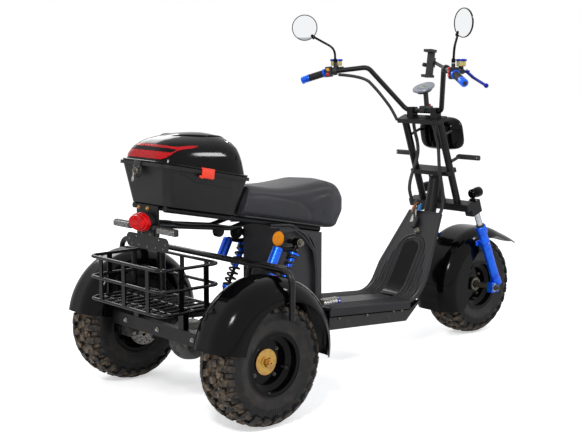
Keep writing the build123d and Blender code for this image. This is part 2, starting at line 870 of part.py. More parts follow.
def make_rear_fenders():
    """Fender over each rear wheel, its side walls cut to an arch around the wheel."""
    angles = (fender_rear_angle, (fender_rear_angle + fender_front_angle) / 2, fender_front_angle)
    arc = ThreePointArc(*[arc_point(fender_x, fender_z, fender_radius, angle) for angle in angles])
    path = Plane.XZ * arc
    half = (fender_outer_y - fender_inner_y) / 2
    fender = arched(path, half, 130, fender_wall, fender_shoulder)
    arch = rod((fender_edge_x, -200, fender_edge_z), (fender_edge_x, 200, fender_edge_z),
               fender_edge_radius)
    return pair(Pos(0, (fender_outer_y + fender_inner_y) / 2, 0) * (fender - arch))


def make_hoops():
    """Long rail over both fenders, and a hoop beside it that comes down inside each wheel."""
    rail = bent_tube([
        (hoop_x, -hoop_leg_y, hoop_leg_z),
        (hoop_x, -hoop_leg_y, hoop_z),
        (hoop_x, hoop_leg_y, hoop_z),
        (hoop_x, hoop_leg_y, hoop_leg_z),
    ], hoop_tube_radius, 45)
    beside = hoop_x + 2 * hoop_tube_radius - weld_depth
    foot = hoop_foot_z + 12
    hoop = bent_tube([
        (beside, hoop_inner_y, foot),
        (beside, hoop_inner_y, hoop_z),
        (beside, hoop_leg_y - 45, hoop_z),
    ], hoop_tube_radius, 45)
    return rail + hoop + mirrored(hoop)


def basket_rail(z):
    """Closed rod loop of the basket at one height."""
    middle = (basket_rear_x + basket_front_x) / 2
    loop = RectangleRounded(basket_front_x - basket_rear_x, 2 * basket_half_width, basket_corner)
    path = Pos(middle, 0, z) * loop.wire()
    start = Plane(origin=path @ 0, z_dir=path % 0)
    return sweep(start * Circle(basket_rod_radius), path=path)


def make_basket_floor():
    """Lowest loop of the basket with the long floor rods and its feet on the cross beam."""
    low = basket_rail_z[0]
    floor = basket_rail(low)
    count = 9
    for index in range(count):
        y = -basket_half_width + 2 * basket_half_width * (index + 1) / (count + 1)
        floor = floor + rod((basket_rear_x, y, low), (basket_front_x, y, low), 4)
    for x in (-230, beam_x):
        floor = floor + rod((x, -basket_half_width, low - 4), (x, basket_half_width, low - 4), 5)
    foot = basket_strip_width / 2 + 5
    for y in (-140, 140):
        floor = floor + slab(beam_x - 12, beam_x + 12, y - foot, y + foot, beam_low_z + beam_height, low)
    return floor


def make_basket_strips():
    """Flat upright strips of the basket, each between two loops."""
    low, high = basket_rail_z[0], basket_rail_z[-1]
    wide, thin = basket_strip_width / 2, basket_strip_thickness / 2
    strips = []
    for y in (-147, 0, 147):
        for x in (basket_rear_x, basket_front_x):
            strips.append(slab(x - thin, x + thin, y - wide, y + wide, low, high))
    for x in (-200, -90):
        for y in (-basket_half_width, basket_half_width):
            strips.append(slab(x - wide, x + wide, y - thin, y + thin, low, high))
    rails = [make_basket_floor()] + [basket_rail(z) for z in basket_rail_z[1:]]
    pieces = []
    for strip in strips:
        for piece in cut(strip, *rails).solids():
            if piece.bounding_box().size.Z > 20:
                pieces.append(piece)
    return pieces


def lamp_disc(near, far, half_height, half_width):
    """Oval slice of the tail lamp between two distances behind the rack's plate."""
    back = rack_rear_x - 9
    slice_ = Rot(0, -90, 0) * extrude(Ellipse(half_height, half_width), far - near)
    return Pos(back - near, 0, lamp_z) * slice_


def make_tail_lamp_base():
    return lamp_disc(0, 22, 30, 50)


def make_tail_lamp():
    """Oval red lens of the tail lamp."""
    return lamp_disc(22, 40, 34, 55) + lamp_disc(40, 52, 27, 46)


def make_rear_indicators():
    """Bar indicator on each side of the tail lamp, on a stalk from its base."""
    bars = []
    for side in (1, -1):
        bar = slab(-206, -180, side * 84, side * 190, 655, 681)
        stalk = rod((-193, side * 30, 674), (-193, side * 90, 674), 6)
        bars.append(bar + stalk - make_tail_lamp_base())
    return bars


def make_plate_bracket():
    """Dark plate bracket below the tail lamp, bolted to the rack's rear plate."""
    x = rack_rear_x - 9
    plate = fillet(slab(x - 3, x, -130, 130, 588, 640).edges().filter_by(Axis.X), 22)
    neck = slab(x - 3, x, -42, 42, 630, lamp_z - 32)
    holes = [rod((x - 10, y, 628), (x + 10, y, 628), 3.5) for y in (-70, 70)]
    return cut(plate + neck, *holes)


def make_foot_pegs():
    """Folding foot peg on each side of the box's front corners, above the deck."""
    peg = slab(box_front_x - 40, box_front_x - box_corner, box_half_width, box_half_width + 12, 302, 320)
    plate = slab(box_front_x - 40, box_front_x + 52, box_half_width + 8, box_half_width + 44, 300, 322)
    return pair(fillet((peg + plate).edges().filter_by(Axis.Z).group_by(Axis.X)[-1], 8))


def make_side_reflectors():
    """Round reflector on a bracket at the rear of each side of the box."""
    inner = box_half_width - box_pocket_depth
    bracket = slab(322, 372, inner, inner + 4, 574, 600)
    boss = rod((330, inner + 2, 587), (330, box_half_width + 4, 587), 9)
    disc = rod((330, box_half_width + 4, 587), (330, box_half_width + 12, 587), 30)
    return pair(bracket + boss + disc)


def make_horn():
    """Round horn below the rack's lower tubes."""
    low = rack_lower_z(95)
    drum = rod((95, -70, low - 14), (95, -46, low - 14), 21)
    return drum - make_seat_rack()


def make_key_switch():
    """Key barrel high on the leg shield."""
    return shield_place(96, 0) * extrude(Circle(13), 9)


def make_wiring_connectors():
    """String of plugs that hangs over the top of the leg shield."""
    string = None
    for down, y, length, width, tall in ((-34, 60, 34, 20, 14), (2, 54, 30, 24, 15), (42, 42, 42, 16, 13),
                                         (66, 22, 50, 22, 15), (-8, 34, 30, 15, 12)):
        block = Pos(0, 0, tall / 2) * Box(length, width, tall)
        piece = shield_place(down, y, soft_gap) * block
        string = piece if string is None else string + piece
    for start, end in (((-34, 60), (66, 22)), ((2, 54), (-8, 34))):
        first = (shield_place(start[0], start[1], 6)).position
        last = (shield_place(end[0], end[1], 6)).position
        string = string + rod(tuple(first), tuple(last), 4.5)
    return string


# ---------------------------------------------------------------- front end
def make_fork_yoke():
    """Crowns and uprights, one welded piece, with the stem in the head tube."""
    lean = Rot(0, -steering_rake, 0)
    yoke = rod(steering_point(-10), steering_point(head_tube_high + 10), stem_radius)
    lower = Box(crown_depth, 2 * stanchion_y + 44, 34)
    middle = Box(56, 2 * upright_y + 20, crown_thickness)
    upper = Box(56, 2 * upright_y + 44, crown_thickness)
    for height, crown in ((0, lower), (head_tube_high + 14, middle), (crown_length() - 10, upper)):
        yoke = yoke + Location(steering_point(height)) * lean * crown
    for side in (1, -1):
        yoke = yoke + upright(side)
        end = Location(steering_point(-22, side * stanchion_y, 36)) * lean * Box(64, 44, 58)
        yoke = yoke + end
        yoke = yoke + slab(bar_clamp_x - 18, bar_clamp_x + 18, side * 52, side * 84, crown_top_z - 6,
                           bar_clamp_z + 16)
        yoke = yoke + headlight_tab(side)
    return cut(yoke, make_handlebar(), make_stanchion(), mirrored(make_stanchion()))


def upright(side):
    """Long fork tube from below the lower crown to the top crown."""
    y = side * upright_y
    return rod(steering_point(-20, y), steering_point(crown_length(), y), upright_radius)


def headlight_tab(side):
    """Short bar from an upright to the back of the headlight."""
    height, y = crown_length() - 88, side * 92
    return rod(steering_point(height, y), steering_point(height, y, headlight_ahead + 8), 6)


def crown_length():
    """Length of the steering axis from the lower crown to the top crown."""
    return (crown_top_z - crown_z) / cos(radians(steering_rake))


def fork_leg_point(down):
    """Point on the right fork leg's line, at a distance below the lower crown."""
    lean = radians(shock_rake)
    x, _, z = steering_point(-8, 0, 48)
    return (x + down * sin(lean), -stanchion_y, z - down * cos(lean))


def make_stanchion():
    return rod(fork_leg_point(-4), fork_leg_point(240), stanchion_radius)


def make_slider():
    """Lower fork leg with the axle lug and the tab that holds the fender."""
    slider = rod(fork_leg_point(118), fork_leg_point(425), slider_radius)
    bore = rod(fork_leg_point(110), fork_leg_point(240), stanchion_radius)
    lug = slab(wheelbase - 22, wheelbase + 30, -stanchion_y - 13, -stanchion_y + 13, axle_z - 22,
               axle_z + 24)
    at = fork_leg_point(214)
    tab = slab(at[0] - 14, at[0] + 14, -stanchion_y, -front_fender_half_width, at[2] - 12, at[2] + 12)
    reach = front_axle_reach + 14
    axle = rod((wheelbase, -reach, axle_z), (wheelbase, reach, axle_z), front_axle_radius)
    return slider + lug + tab - bore - axle


def make_front_axle():
    """Fixed axle with a spacer each side of the hub and a nut at each end."""
    axle = rod((wheelbase, -front_axle_reach, axle_z), (wheelbase, front_axle_reach, axle_z),
               front_axle_radius)
    lug_in, lug_out = stanchion_y - 13, stanchion_y + 13
    for side, hub_end in ((1, 60), (-1, rim_width / 2 - rim_dish + rim_disc_thickness / 2 + 18)):
        axle = axle + rod((wheelbase, side * (hub_end + 1), axle_z), (wheelbase, side * lug_in, axle_z), 13)
        nut_end = side * (front_axle_reach - 6)
        axle = axle + rod((wheelbase, side * lug_out, axle_z), (wheelbase, nut_end, axle_z), 14)
    return axle


def make_front_fender():
    """Wide fender over the front wheel: deep behind it, flared out ahead of it."""
    def on_arc(angle):
        return arc_point(wheelbase, axle_z, front_fender_radius, angle)
    lift_off = 67.4
    corner = on_arc(lift_off)
    heading = Vector(sin(radians(lift_off)), -cos(radians(lift_off)))
    straight_end = (corner[0] + 92 * heading.X, corner[1] + 92 * heading.Y)
    tip = (wheelbase + 280, 398)
    over = ThreePointArc(on_arc(210), on_arc(140), corner)
    flare = Line(corner, straight_end)
    droop = TangentArc(straight_end, tip, tangent=(heading.X, heading.Y))
    path = Plane.XZ * Wire([over, flare, droop])
    fender = arched(path, front_fender_half_width, 140, front_fender_wall, front_fender_shoulder)
    rear_low_z = 134
    below = [(-370, 0), (-370, rear_low_z), (-144, rear_low_z), (-131, 200), (-126, 290), (-100, 352),
             (-40, 412), (20, 452), (80, 452), (140, 428), (210, 412), (273, 384), (380, 330), (380, 0)]
    edge = Polyline(*[(wheelbase + ahead, z) for ahead, z in below], close=True)
    fender = fender - extrude(Plane.XZ * make_face(edge), 200, both=True)
    bill = wheelbase + 170
    straight = Pos(bill - 300, 0) * Rectangle(600, 2 * front_fender_half_width + 20)
    nose = Pos(bill, 0) * Ellipse(tip[0] - bill, front_fender_half_width + 4)
    return fender & extrude(straight + nose, 900)


def make_handlebar():
    """High bar: up and out from the clamps, then back along the grips."""
    side = [(bar_clamp_x, bar_clamp_y, bar_clamp_z), bar_bend, grip_inner, grip_outer]
    other = [(x, -y, z) for x, y, z in reversed(side)]
    return bent_tube(other + side, bar_radius, 40)


def bar_point(inward, ahead=0, up=0):
    """Point on the left bar, at a distance inward of the grip's bend, set off from its axis."""
    start, end = Vector(*grip_inner), Vector(*bar_bend)
    way = (end - start).normalized()
    at = start + way * inward
    front = Vector(way.Y, -way.X, 0).normalized()
    if front.X < 0:
        front = front * -1
    return tuple(at + front * ahead + Vector(0, 0, up))


def make_grips():
    inner, outer = Vector(*grip_inner), Vector(*grip_outer)
    way = (outer - inner).normalized()
    start = outer - way * (grip_length - 8)
    end = outer + way * 8
    grip = rod(tuple(start), tuple(end), grip_radius) - rod(tuple(start), tuple(outer), bar_radius)
    return pair(grip)


def make_switches():
    """Switch housing on each side, around the bar between grip and lever perch."""
    centre = Vector(*bar_point(2))
    way = (Vector(*grip_inner) - Vector(*bar_bend)).normalized()
    block = Plane(origin=centre, z_dir=way, x_dir=(0, 0, 1)) * Box(46, 38, 26)
    return pair(block - make_handlebar())


def bar_button(side, ahead, up, radius, length):
    """Push button that stands out of a switch housing towards the rider."""
    x, y, z = bar_point(2, ahead, up)
    return rod((x, side * y, z), (x - length, side * (y - length * 0.7), z), radius)


def make_red_buttons():
    """Red buttons: one low on the left housing, three on the right one, one on the stem."""
    housings = make_switches()
    buttons = [bar_button(1, -16, -15, 6.5, 14)]
    buttons += [bar_button(-1, -16, up, 5, 13) for up in (14, 0, -15)]
    buttons = [button - housings[0] - housings[1] for button in buttons]
    stem = rod((bar_clamp_x + 36, 0, bar_clamp_z + 22), (bar_clamp_x + 36, 0, bar_clamp_z + 30), 6)
    return buttons + [stem]


def make_horn_button():
    """Orange button high on the left housing."""
    return bar_button(1, -16, 6, 7, 13) - make_switches()[0]


def make_master_cylinders():
    """Lever perch, brake cylinder and mirror boss, around the bar on each side."""
    way = (Vector(*grip_inner) - Vector(*bar_bend)).normalized()
    low, high = Vector(*bar_point(38)), Vector(*bar_point(20))
    clamp = rod(tuple(low), tuple(high), 18)
    ahead = Vector(*bar_point(29, 36, 6))
    cylinder = rod(tuple(ahead - way * 34), tuple(ahead + way * 24), 11)
    bridge = rod(bar_point(29), tuple(ahead), 9)
    boss = rod(bar_point(29, 4, 6), bar_point(29, 4, 36), 8)
    pedestal = rod(tuple(ahead), tuple(ahead + Vector(0, 0, 18)), 10)
    return pair(clamp + cylinder + bridge + boss + pedestal - make_handlebar())


def reservoir(low, high, length, width):
    """Slice of the brake fluid reservoir between two heights above the brake cylinder."""
    x, y, z = bar_point(29, 36, 6)
    way = (Vector(*grip_inner) - Vector(*bar_bend)).normalized()
    turn = degrees(atan2(way.Y, way.X))
    return Pos(x, y, z + low) * Rot(0, 0, turn) * extrude(RectangleRounded(length, width, 12), high - low)


def make_reservoirs():
    """Brake fluid reservoirs, each with its wider cap."""
    return pair(reservoir(18, 40, 50, 34) + reservoir(40, 48, 56, 40))


def make_brake_levers():
    """Lever on each side: from the perch out ahead of the grip, with a ball end."""
    x, y, z = bar_point(29, 36, 6)
    knuckle = (x + 6, y + 26, z - 4)
    bend = (bar_clamp_x - 196, 430, 1192)
    tip = (bar_clamp_x - 234, 524, 1163)
    lever = bent_tube([knuckle, bend, tip], 6.5, 60)
    end = (Vector(*tip) - Vector(*bend)).normalized()
    lever = lever + rod(tuple(Vector(*tip) - end * 4), tuple(Vector(*tip) + end * 9), 9)
    lever = lever + rod((knuckle[0], knuckle[1] - 3, knuckle[2]), (knuckle[0], knuckle[1] + 5, knuckle[2]), 11)
    perch = make_master_cylinders()[0]
    return pair(lever - perch)


def make_mirror(side, turn):
    """Round mirror on a bent stem; its glass side faces rearward, turned in by an angle."""
    x, y, z = bar_point(29, 4, 36 + soft_gap)
    foot = (x, side * y, z)
    bend = (x, side * (y + 3), z + 62)
    back = Vector(cos(radians(turn)), side * sin(radians(turn)), 0)
    centre = Vector(mirror_centre[0], side * mirror_centre[1], mirror_centre[2])
    shell = rod(tuple(centre), tuple(centre + back * mirror_depth), mirror_radius)
    hold = Vector(0.35, -0.6 * side, -0.72)
    rim = (hold - back * hold.dot(back)).normalized() * (mirror_radius - 4)
    stem = bent_tube([foot, bend, tuple(centre + back * mirror_depth / 2 + rim)], 5, 30)
    return shell + stem


def make_mirrors():
    """Both mirrors; each is set at its own angle."""
    return [make_mirror(1, mirror_turn_left), make_mirror(-1, mirror_turn_right)]


def make_display():
    """Round dial on a stem from the middle of the bar, tipped towards the rider."""
    tip = 24
    centre = (bar_clamp_x - 6, 0, bar_clamp_z + 107)
    pod = Location(centre, (0, -tip, 0)) * extrude(Circle(display_radius), -26)
    foot = slab(bar_clamp_x - 15, bar_clamp_x + 44, -16, 16, bar_clamp_z - 6, bar_clamp_z + 22)
    stem = rod((bar_clamp_x + 20, 0, bar_clamp_z + 10), (bar_clamp_x + 8, 0, bar_clamp_z + 92), 11)
    return pod + foot + stem - make_handlebar()


def make_phone_holder():
    """Phone clamp on an arm from the right side of the bar."""
    lean = Rot(0, 8, 0)
    place = Pos(bar_clamp_x - 114, -132, 1246)
    holder = Box(10, 34, 100)
    for z in (-53, 53):
        holder = holder + Pos(-9, 0, z) * Box(34, 44, 11)
    holder = place * lean * (holder + Pos(10, 0, 6) * Box(14, 26, 40))
    x, y, z = bar_point(132)
    ring_way = (Vector(*grip_inner) - Vector(*bar_bend)).normalized()
    ring = rod(tuple(Vector(x, y, z) - ring_way * 9), tuple(Vector(x, y, z) + ring_way * 9), 17)
    arm = rod((x, -y, z), (bar_clamp_x - 98, -140, 1252), 7)
    return holder + mirrored(ring) + arm - make_handlebar()


def headlight_place():
    """Middle of the headlight's back, its Z forward and a little up, its X down."""
    centre = steering_point(crown_length() - 112, 0, headlight_ahead)
    return Location(centre, (0, 90 - steering_rake + 8, 0))


def make_headlight():
    """Oval headlight shell: a domed back that widens to the front ring."""
    tall, wide = headlight_height, headlight_width
    deep = headlight_depth - 16
    back = loft([
        rounded(tall - 34, wide - 60, 32),
        Pos(0, 0, deep * 0.45) * rounded(tall - 8, wide - 14, 42),
        Pos(0, 0, deep) * rounded(tall, wide, 46),
    ])
    ring = Pos(0, 0, deep) * extrude(rounded(tall, wide, 46), 16)
    lens = Pos(0, 0, headlight_depth) * extrude(rounded(tall - 16, wide - 16, 38), 4)
    shell = headlight_place() * (back + ring + lens)
    return cut(shell, headlight_tab(1), headlight_tab(-1))


def make_spot_lamps():
    """Small round lamp on a stalk above each end of the lower crown."""
    x, z = crown_x + 56, 676
    head = rod((x - 28, stanchion_y, z - 4), (x + 28, stanchion_y, z + 4), spot_radius)
    stalk = rod((x - 14, stanchion_y, z - 50), (x - 14, stanchion_y, z - 10), 8)
    left = head + stalk - make_fork_yoke()
    pieces = sorted(left.solids(), key=lambda piece: piece.volume)
    return pair(pieces[-1])


def make_front_indicators():
    """Bar indicator on each side, on a stalk from the fork's upright."""
    x, _, z = steering_point(212)
    stalk = rod((x, upright_y, z), (x + 40, upright_y + 26, z + 24), 7)
    bar = slab(x + 32, x + 48, upright_y + 20, upright_y + 142, z + 12, z + 34)
    bar = fillet(bar.edges().filter_by(Axis.X), 5)
    return pair(stalk + bar - upright(1))


# ---------------------------------------------------------------- cords
def cord(points, radius):
    """Cord along hand-set points: straight runs joined by arcs as large as the runs allow."""
    places = [Vector(*point) for point in points]
    edges = []
    start = places[0]
    for index in range(1, len(places) - 1):
        before, here, after = places[index - 1], places[index], places[index + 1]
        way_in, way_out = (here - before).normalized(), (after - here).normalized()
        turn = way_in.get_angle(way_out)
        reach = 0.45 * min((here - before).length, (after - here).length)
        arc_start, arc_end = here - way_in * reach, here + way_out * reach
        edges.append(Line(start, arc_start))
        edges.append(TangentArc(arc_start, arc_end, tangent=way_in))
        print("cord radius", round(reach / tan(radians(turn / 2)), 1))
        start = arc_end
    edges.append(Line(start, places[-1]))
    path = Wire(edges)
    section = Plane(origin=path @ 0, z_dir=path % 0) * Circle(radius)
    tube = sweep(section, path=path)
    share = tube.volume / (path.length * pi * radius * radius)
    print("cord volume share", round(share, 4))
    return tube


def make_bar_loom():
    """Braided loom under the left side of the bar, down to the top crown."""
    return cord([
        bar_point(46, -6, -17.6),
        (bar_clamp_x - 148, 226, 1190),
        (bar_clamp_x - 114, 184, 1136),
        (bar_clamp_x - 84, 156, 1086),
        (bar_clamp_x - 60, 132, 1040),
        (bar_clamp_x - 49, 113, 996),
    ], bar_loom_radius)


def make_left_front_loom():
    """Ribbed loom from the top crown down beside the left upright to the plugs."""
    return cord([
        (bar_clamp_x, 62, 995.7),
        (bar_clamp_x + 12, 62, 945),
        (bar_clamp_x + 32, 62, 898),
        (bar_clamp_x + 37, 62, 850),
        (bar_clamp_x + 22, 62, 804),
        (bar_clamp_x - 4, 61, 758),
        (bar_clamp_x - 20, 60, 716),
        (bar_clamp_x - 20, 60, 676),
        (bar_clamp_x - 2, 60, 640),
    ], front_loom_radius)


def make_middle_front_loom():
    """Ribbed loom from the top crown down ahead of the leg shield."""
    return cord([
        (bar_clamp_x - 8, -60, 991.4),
        (bar_clamp_x, -68, 950),
        (bar_clamp_x + 14, -72, 906),
        (bar_clamp_x + 18, -74, 860),
        (bar_clamp_x + 22, -74, 804),
        (bar_clamp_x + 34, -74, 748),
        (bar_clamp_x + 50, -74, 690),
        (bar_clamp_x + 58, -72, 634),
        (bar_clamp_x + 46, -68, 586),
        (bar_clamp_x + 18, -64, 552),
    ], front_loom_radius)


def make_rack_loom():
    """Thin loom that hangs under the right side of the rack."""
    y = -(rack_half_width + 58) / 2
    return cord([
        (rack_rear_x - 2.7, -56, 697),
        (-140, -60, 695),
        (-90, -73, 681),
        (-40, y, 673),
        (20, y, 668),
        (80, y, 659),
        (130, y, 648),
        (186, y, 643),
        (250, y, 651.2),
        (280, y, 650),
        (306, y, 656.4),
    ], rack_loom_radius)


def build():
    make_wheels()
    keep("frame", make_frame())
    keep("footboard", make_footboard())
    keep("floor_pan", make_floor_pan())
    keep("battery_box", make_battery_box())
    keep("battery_block", make_battery_block())
    keep("seat_rack", make_seat_rack())
    keep("seat", make_seat())
    keep("case_tub", make_case_tub())
    keep("case_lid", make_case_lid())
    keep("case_catches", make_case_catches() + make_case_hinge_pins())
    keep("rear_subframe", make_subframe())
    keep("axle_housing", make_axle_housing())
    keep("drive_motor", make_drive_motor())
    keep("brake_disc", make_brake())
    keep("brake_caliper", make_caliper())
    keep("rear_shocks", [make_shock(1), make_shock(-1)])
    keep("rear_fenders", make_rear_fenders())
    keep("fender_hoops", make_hoops())
    keep("basket_floor", make_basket_floor())
    keep("basket_rails", [basket_rail(z) for z in basket_rail_z[1:]])
    keep("basket_strips", make_basket_strips())
    keep("tail_lamp", make_tail_lamp())
    keep("rear_indicators", make_rear_indicators())
    keep("plate_bracket", [make_plate_bracket(), make_tail_lamp_base()])
    keep("foot_pegs", make_foot_pegs())
    keep("side_reflectors", make_side_reflectors())
    keep("small_electrics", [make_wiring_connectors(), make_key_switch(), make_horn()])
    keep("fork_yoke", make_fork_yoke())
    keep("fork_stanchions", pair(make_stanchion()))
    keep("fork_sliders", pair(make_slider()))
    keep("front_axle", make_front_axle())
    keep("front_fender", make_front_fender())
    keep("handlebar", make_handlebar())
    keep("grips", make_grips())
    keep("bar_buttons", make_red_buttons() + [make_horn_button()])
    keep("bar_controls", make_switches() + make_master_cylinders())
    keep("reservoirs", make_reservoirs())
    keep("brake_levers", make_brake_levers())
    keep("mirrors", make_mirrors())
    keep("display", make_display())
    keep("phone_holder", make_phone_holder())
    keep("headlight", make_headlight())
    keep("spot_lamps", make_spot_lamps())
    keep("front_indicators", make_front_indicators())
    keep("bar_loom", make_bar_loom())
    keep("left_front_loom", make_left_front_loom())
    keep("middle_front_loom", make_middle_front_loom())
    keep("rack_loom", make_rack_loom())


def write():
    everything = [solid for solids in parts.values() for solid in solids]
    box = Compound(children=[Compound(everything)]).bounding_box()
    middle = (box.min.X + box.max.X) / 2
    print("middle x", round(middle, 4), "low z", box.min.Z, "y", box.min.Y, box.max.Y)
    os.makedirs("parts", exist_ok=True)
    for name, solids in parts.items():
        moved = [Pos(-middle, 0, 0) * solid for solid in solids]
        whole = moved[0] if len(moved) == 1 else Compound(moved)
        export_step(whole, "parts/" + name + ".step")


build()
write()
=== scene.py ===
# %% [markdown]
# # Electric tricycle
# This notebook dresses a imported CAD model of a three-wheeled electric scooter: fat tyres, a rack
# with a top case, a wire basket between the rear wheels and a high handlebar. The CAD model is the
# fixed frame. Each cell gives one piece its final finish, or builds a more detailed piece that
# stands where the CAD piece was.

# %% Open the frame
import json
import math

import bmesh
import bpy
from mathutils import Euler, Matrix, Vector

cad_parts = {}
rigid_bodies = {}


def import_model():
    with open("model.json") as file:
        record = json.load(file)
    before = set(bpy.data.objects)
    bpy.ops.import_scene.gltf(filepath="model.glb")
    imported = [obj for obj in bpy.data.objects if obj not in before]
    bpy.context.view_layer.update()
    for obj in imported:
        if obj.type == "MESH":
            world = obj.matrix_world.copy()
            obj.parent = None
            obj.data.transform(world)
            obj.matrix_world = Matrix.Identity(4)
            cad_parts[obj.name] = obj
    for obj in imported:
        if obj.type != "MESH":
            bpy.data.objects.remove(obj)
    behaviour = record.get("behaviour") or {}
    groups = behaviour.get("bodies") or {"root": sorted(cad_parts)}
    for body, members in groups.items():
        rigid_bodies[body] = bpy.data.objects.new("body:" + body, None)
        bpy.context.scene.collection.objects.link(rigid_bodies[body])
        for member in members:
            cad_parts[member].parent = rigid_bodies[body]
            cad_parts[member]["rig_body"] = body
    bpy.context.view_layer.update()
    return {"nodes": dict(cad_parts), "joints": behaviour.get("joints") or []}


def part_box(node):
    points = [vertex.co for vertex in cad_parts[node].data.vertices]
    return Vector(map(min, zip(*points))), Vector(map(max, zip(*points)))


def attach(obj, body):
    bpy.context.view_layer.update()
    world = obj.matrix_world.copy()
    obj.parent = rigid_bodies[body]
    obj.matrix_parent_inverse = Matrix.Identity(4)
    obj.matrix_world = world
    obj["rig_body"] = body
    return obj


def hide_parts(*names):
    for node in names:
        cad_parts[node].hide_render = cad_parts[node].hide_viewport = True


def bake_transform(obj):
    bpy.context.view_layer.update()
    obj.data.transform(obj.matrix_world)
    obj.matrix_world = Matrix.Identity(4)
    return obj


for old in list(bpy.data.objects):
    bpy.data.objects.remove(old)
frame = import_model()
nodes = frame["nodes"]

# %% [markdown]
# The drawing of the vehicle was made in millimetres, measured from the ground under the rear axle.
# The frame is in metres, and its origin is under the middle of the vehicle. One value joins the
# two: where the rear axle stands in the frame, which is the middle of a rear tyre.

# %% Millimetres to metres
tyre_low, tyre_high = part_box("rear_left_tyre")
rear_axle_x = (tyre_low.x + tyre_high.x) / 2
axle_z = (tyre_low.z + tyre_high.z) / 2 * 1000
to_metres = Matrix.Translation((rear_axle_x, 0, 0)) @ Matrix.Scale(0.001, 4)
to_drawing = to_metres.inverted()
print("rear axle at", round(rear_axle_x, 4), "m, axle height", round(axle_z, 1), "mm")

# %% [markdown]
# ## Camera, light and floor
# A product shot has a camera far away with a long lens, so that the far wheel isn't much smaller
# than the near one. The light is a large soft sky with a few soft boxes: black gloss paint shows
# only what it reflects, so the boxes draw its shape. The floor is pale and keeps the shadow, and
# what the camera sees behind it is plain white.

# %% Camera
camera_place = Vector((rear_axle_x - 2.45796, -3.30426, 1.25806))
camera_azimuth, camera_elevation = math.radians(-41.878), math.radians(7.935)
camera_data = bpy.data.cameras.new("camera")
camera_data.sensor_width = 36
camera_data.lens = 69.775
camera = bpy.data.objects.new("camera", camera_data)
bpy.context.scene.collection.objects.link(camera)
camera.location = camera_place
camera_back = Vector((
    math.sin(camera_azimuth) * math.cos(camera_elevation),
    -math.cos(camera_azimuth) * math.cos(camera_elevation),
    math.sin(camera_elevation),
))
camera.rotation_mode = "QUATERNION"
camera.rotation_quaternion = (-camera_back).to_track_quat("-Z", "Y")
bpy.context.scene.camera = camera
bpy.context.scene.view_settings.view_transform = "Standard"
print("camera", round(camera_place.length, 2), "m from the frame's origin, lens",
      round(camera_data.lens, 1), "mm")


# %% Colours and nodes
def shade(code):
    """An sRGB hex colour such as #1c1c1e as linear red, green, blue and alpha."""
    values = [int(code[i:i + 2], 16) / 255 for i in (1, 3, 5)]
    linear = [v / 12.92 if v <= 0.04045 else ((v + 0.055) / 1.055) ** 2.4 for v in values]
    return (*linear, 1)


def add(tree, kind, settings=None, **links):
    """Adds a node, sets its values and joins its inputs. An input is named with _ for a space, or
    by its number, as in n0."""
    node = tree.nodes.new(kind)
    for name, value in (settings or {}).items():
        if isinstance(name, int) or name in node.inputs:
            node.inputs[name].default_value = value
        else:
            setattr(node, name, value)
    for name, source in links.items():
        key = int(name[1:]) if name[0] == "n" and name[1:].isdigit() else name.replace("_", " ")
        tree.links.new(source, node.inputs[key])
    return node


print("anodised blue in linear light", [round(c, 3) for c in shade("#0d66f2")])

# %% Sky and lamps
world = bpy.data.worlds.new("studio")
bpy.context.scene.world = world
world.use_nodes = True
sky = world.node_tree
sky.nodes.clear()
rays = add(sky, "ShaderNodeLightPath")
soft_sky = add(sky, "ShaderNodeBackground", {"Color": shade("#f4f6fa"), "Strength": 0.62})
white_sky = add(sky, "ShaderNodeBackground", {"Color": (1, 1, 1, 1), "Strength": 1.0})
seen = rays.outputs["Is Camera Ray"]
for also in ("Is Glossy Ray", "Is Transmission Ray"):
    seen = add(sky, "ShaderNodeMath", {"operation": "MAXIMUM"}, n0=seen,
               n1=rays.outputs[also]).outputs[0]
mixed = add(sky, "ShaderNodeMixShader", None, n0=seen, n1=soft_sky.outputs[0],
            n2=white_sky.outputs[0])
add(sky, "ShaderNodeOutputWorld", None, Surface=mixed.outputs[0])


lamp_target = Vector((0, 0, 0.5))


def soft_box(name, place, size, watts):
    """A rectangular lamp aimed at the middle of the vehicle."""
    lamp = bpy.data.lights.new(name, "AREA")
    lamp.shape, lamp.size, lamp.size_y, lamp.energy = "RECTANGLE", size[0], size[1], watts
    thing = bpy.data.objects.new(name, lamp)
    bpy.context.scene.collection.objects.link(thing)
    thing.location = place
    thing.rotation_mode = "QUATERNION"
    thing.rotation_quaternion = (lamp_target - Vector(place)).to_track_quat("-Z", "Y")


soft_box("key", (-3.4, -2.4, 3.4), (0.7, 0.7), 105)
soft_box("fill", (3.0, -3.2, 3.5), (0.7, 0.7), 62)
soft_box("back", (0.5, 3.6, 3.0), (2.6, 1.4), 60)
print("lamps", [lamp.name for lamp in bpy.data.lights if lamp.users])

# %% Floor
floor_mesh = bpy.data.meshes.new("floor")
floor_half, floor_drop = 30, 0.0005
floor_mesh.from_pydata([(a * floor_half, b * floor_half, 0)
                        for a, b in ((-1, -1), (1, -1), (1, 1), (-1, 1))], [], [(0, 1, 2, 3)])
floor = bpy.data.objects.new("floor", floor_mesh)
bpy.context.scene.collection.objects.link(floor)
floor.location.z = -floor_drop
paper = bpy.data.materials.new("backdrop_paper")
paper.use_nodes = True
tree = paper.node_tree
tree.nodes.clear()
rays = add(tree, "ShaderNodeLightPath")
chalk = add(tree, "ShaderNodeBsdfDiffuse", {"Color": shade("#f6f6f6")})
glow = add(tree, "ShaderNodeEmission", {"Color": (1, 1, 1, 1), "Strength": 0.52})
lit = add(tree, "ShaderNodeAddShader", None, n0=chalk.outputs[0], n1=glow.outputs[0])
seen = add(tree, "ShaderNodeMixShader", None, n0=rays.outputs["Is Camera Ray"],
           n1=chalk.outputs[0], n2=lit.outputs[0])
add(tree, "ShaderNodeOutputMaterial", None, Surface=seen.outputs[0])
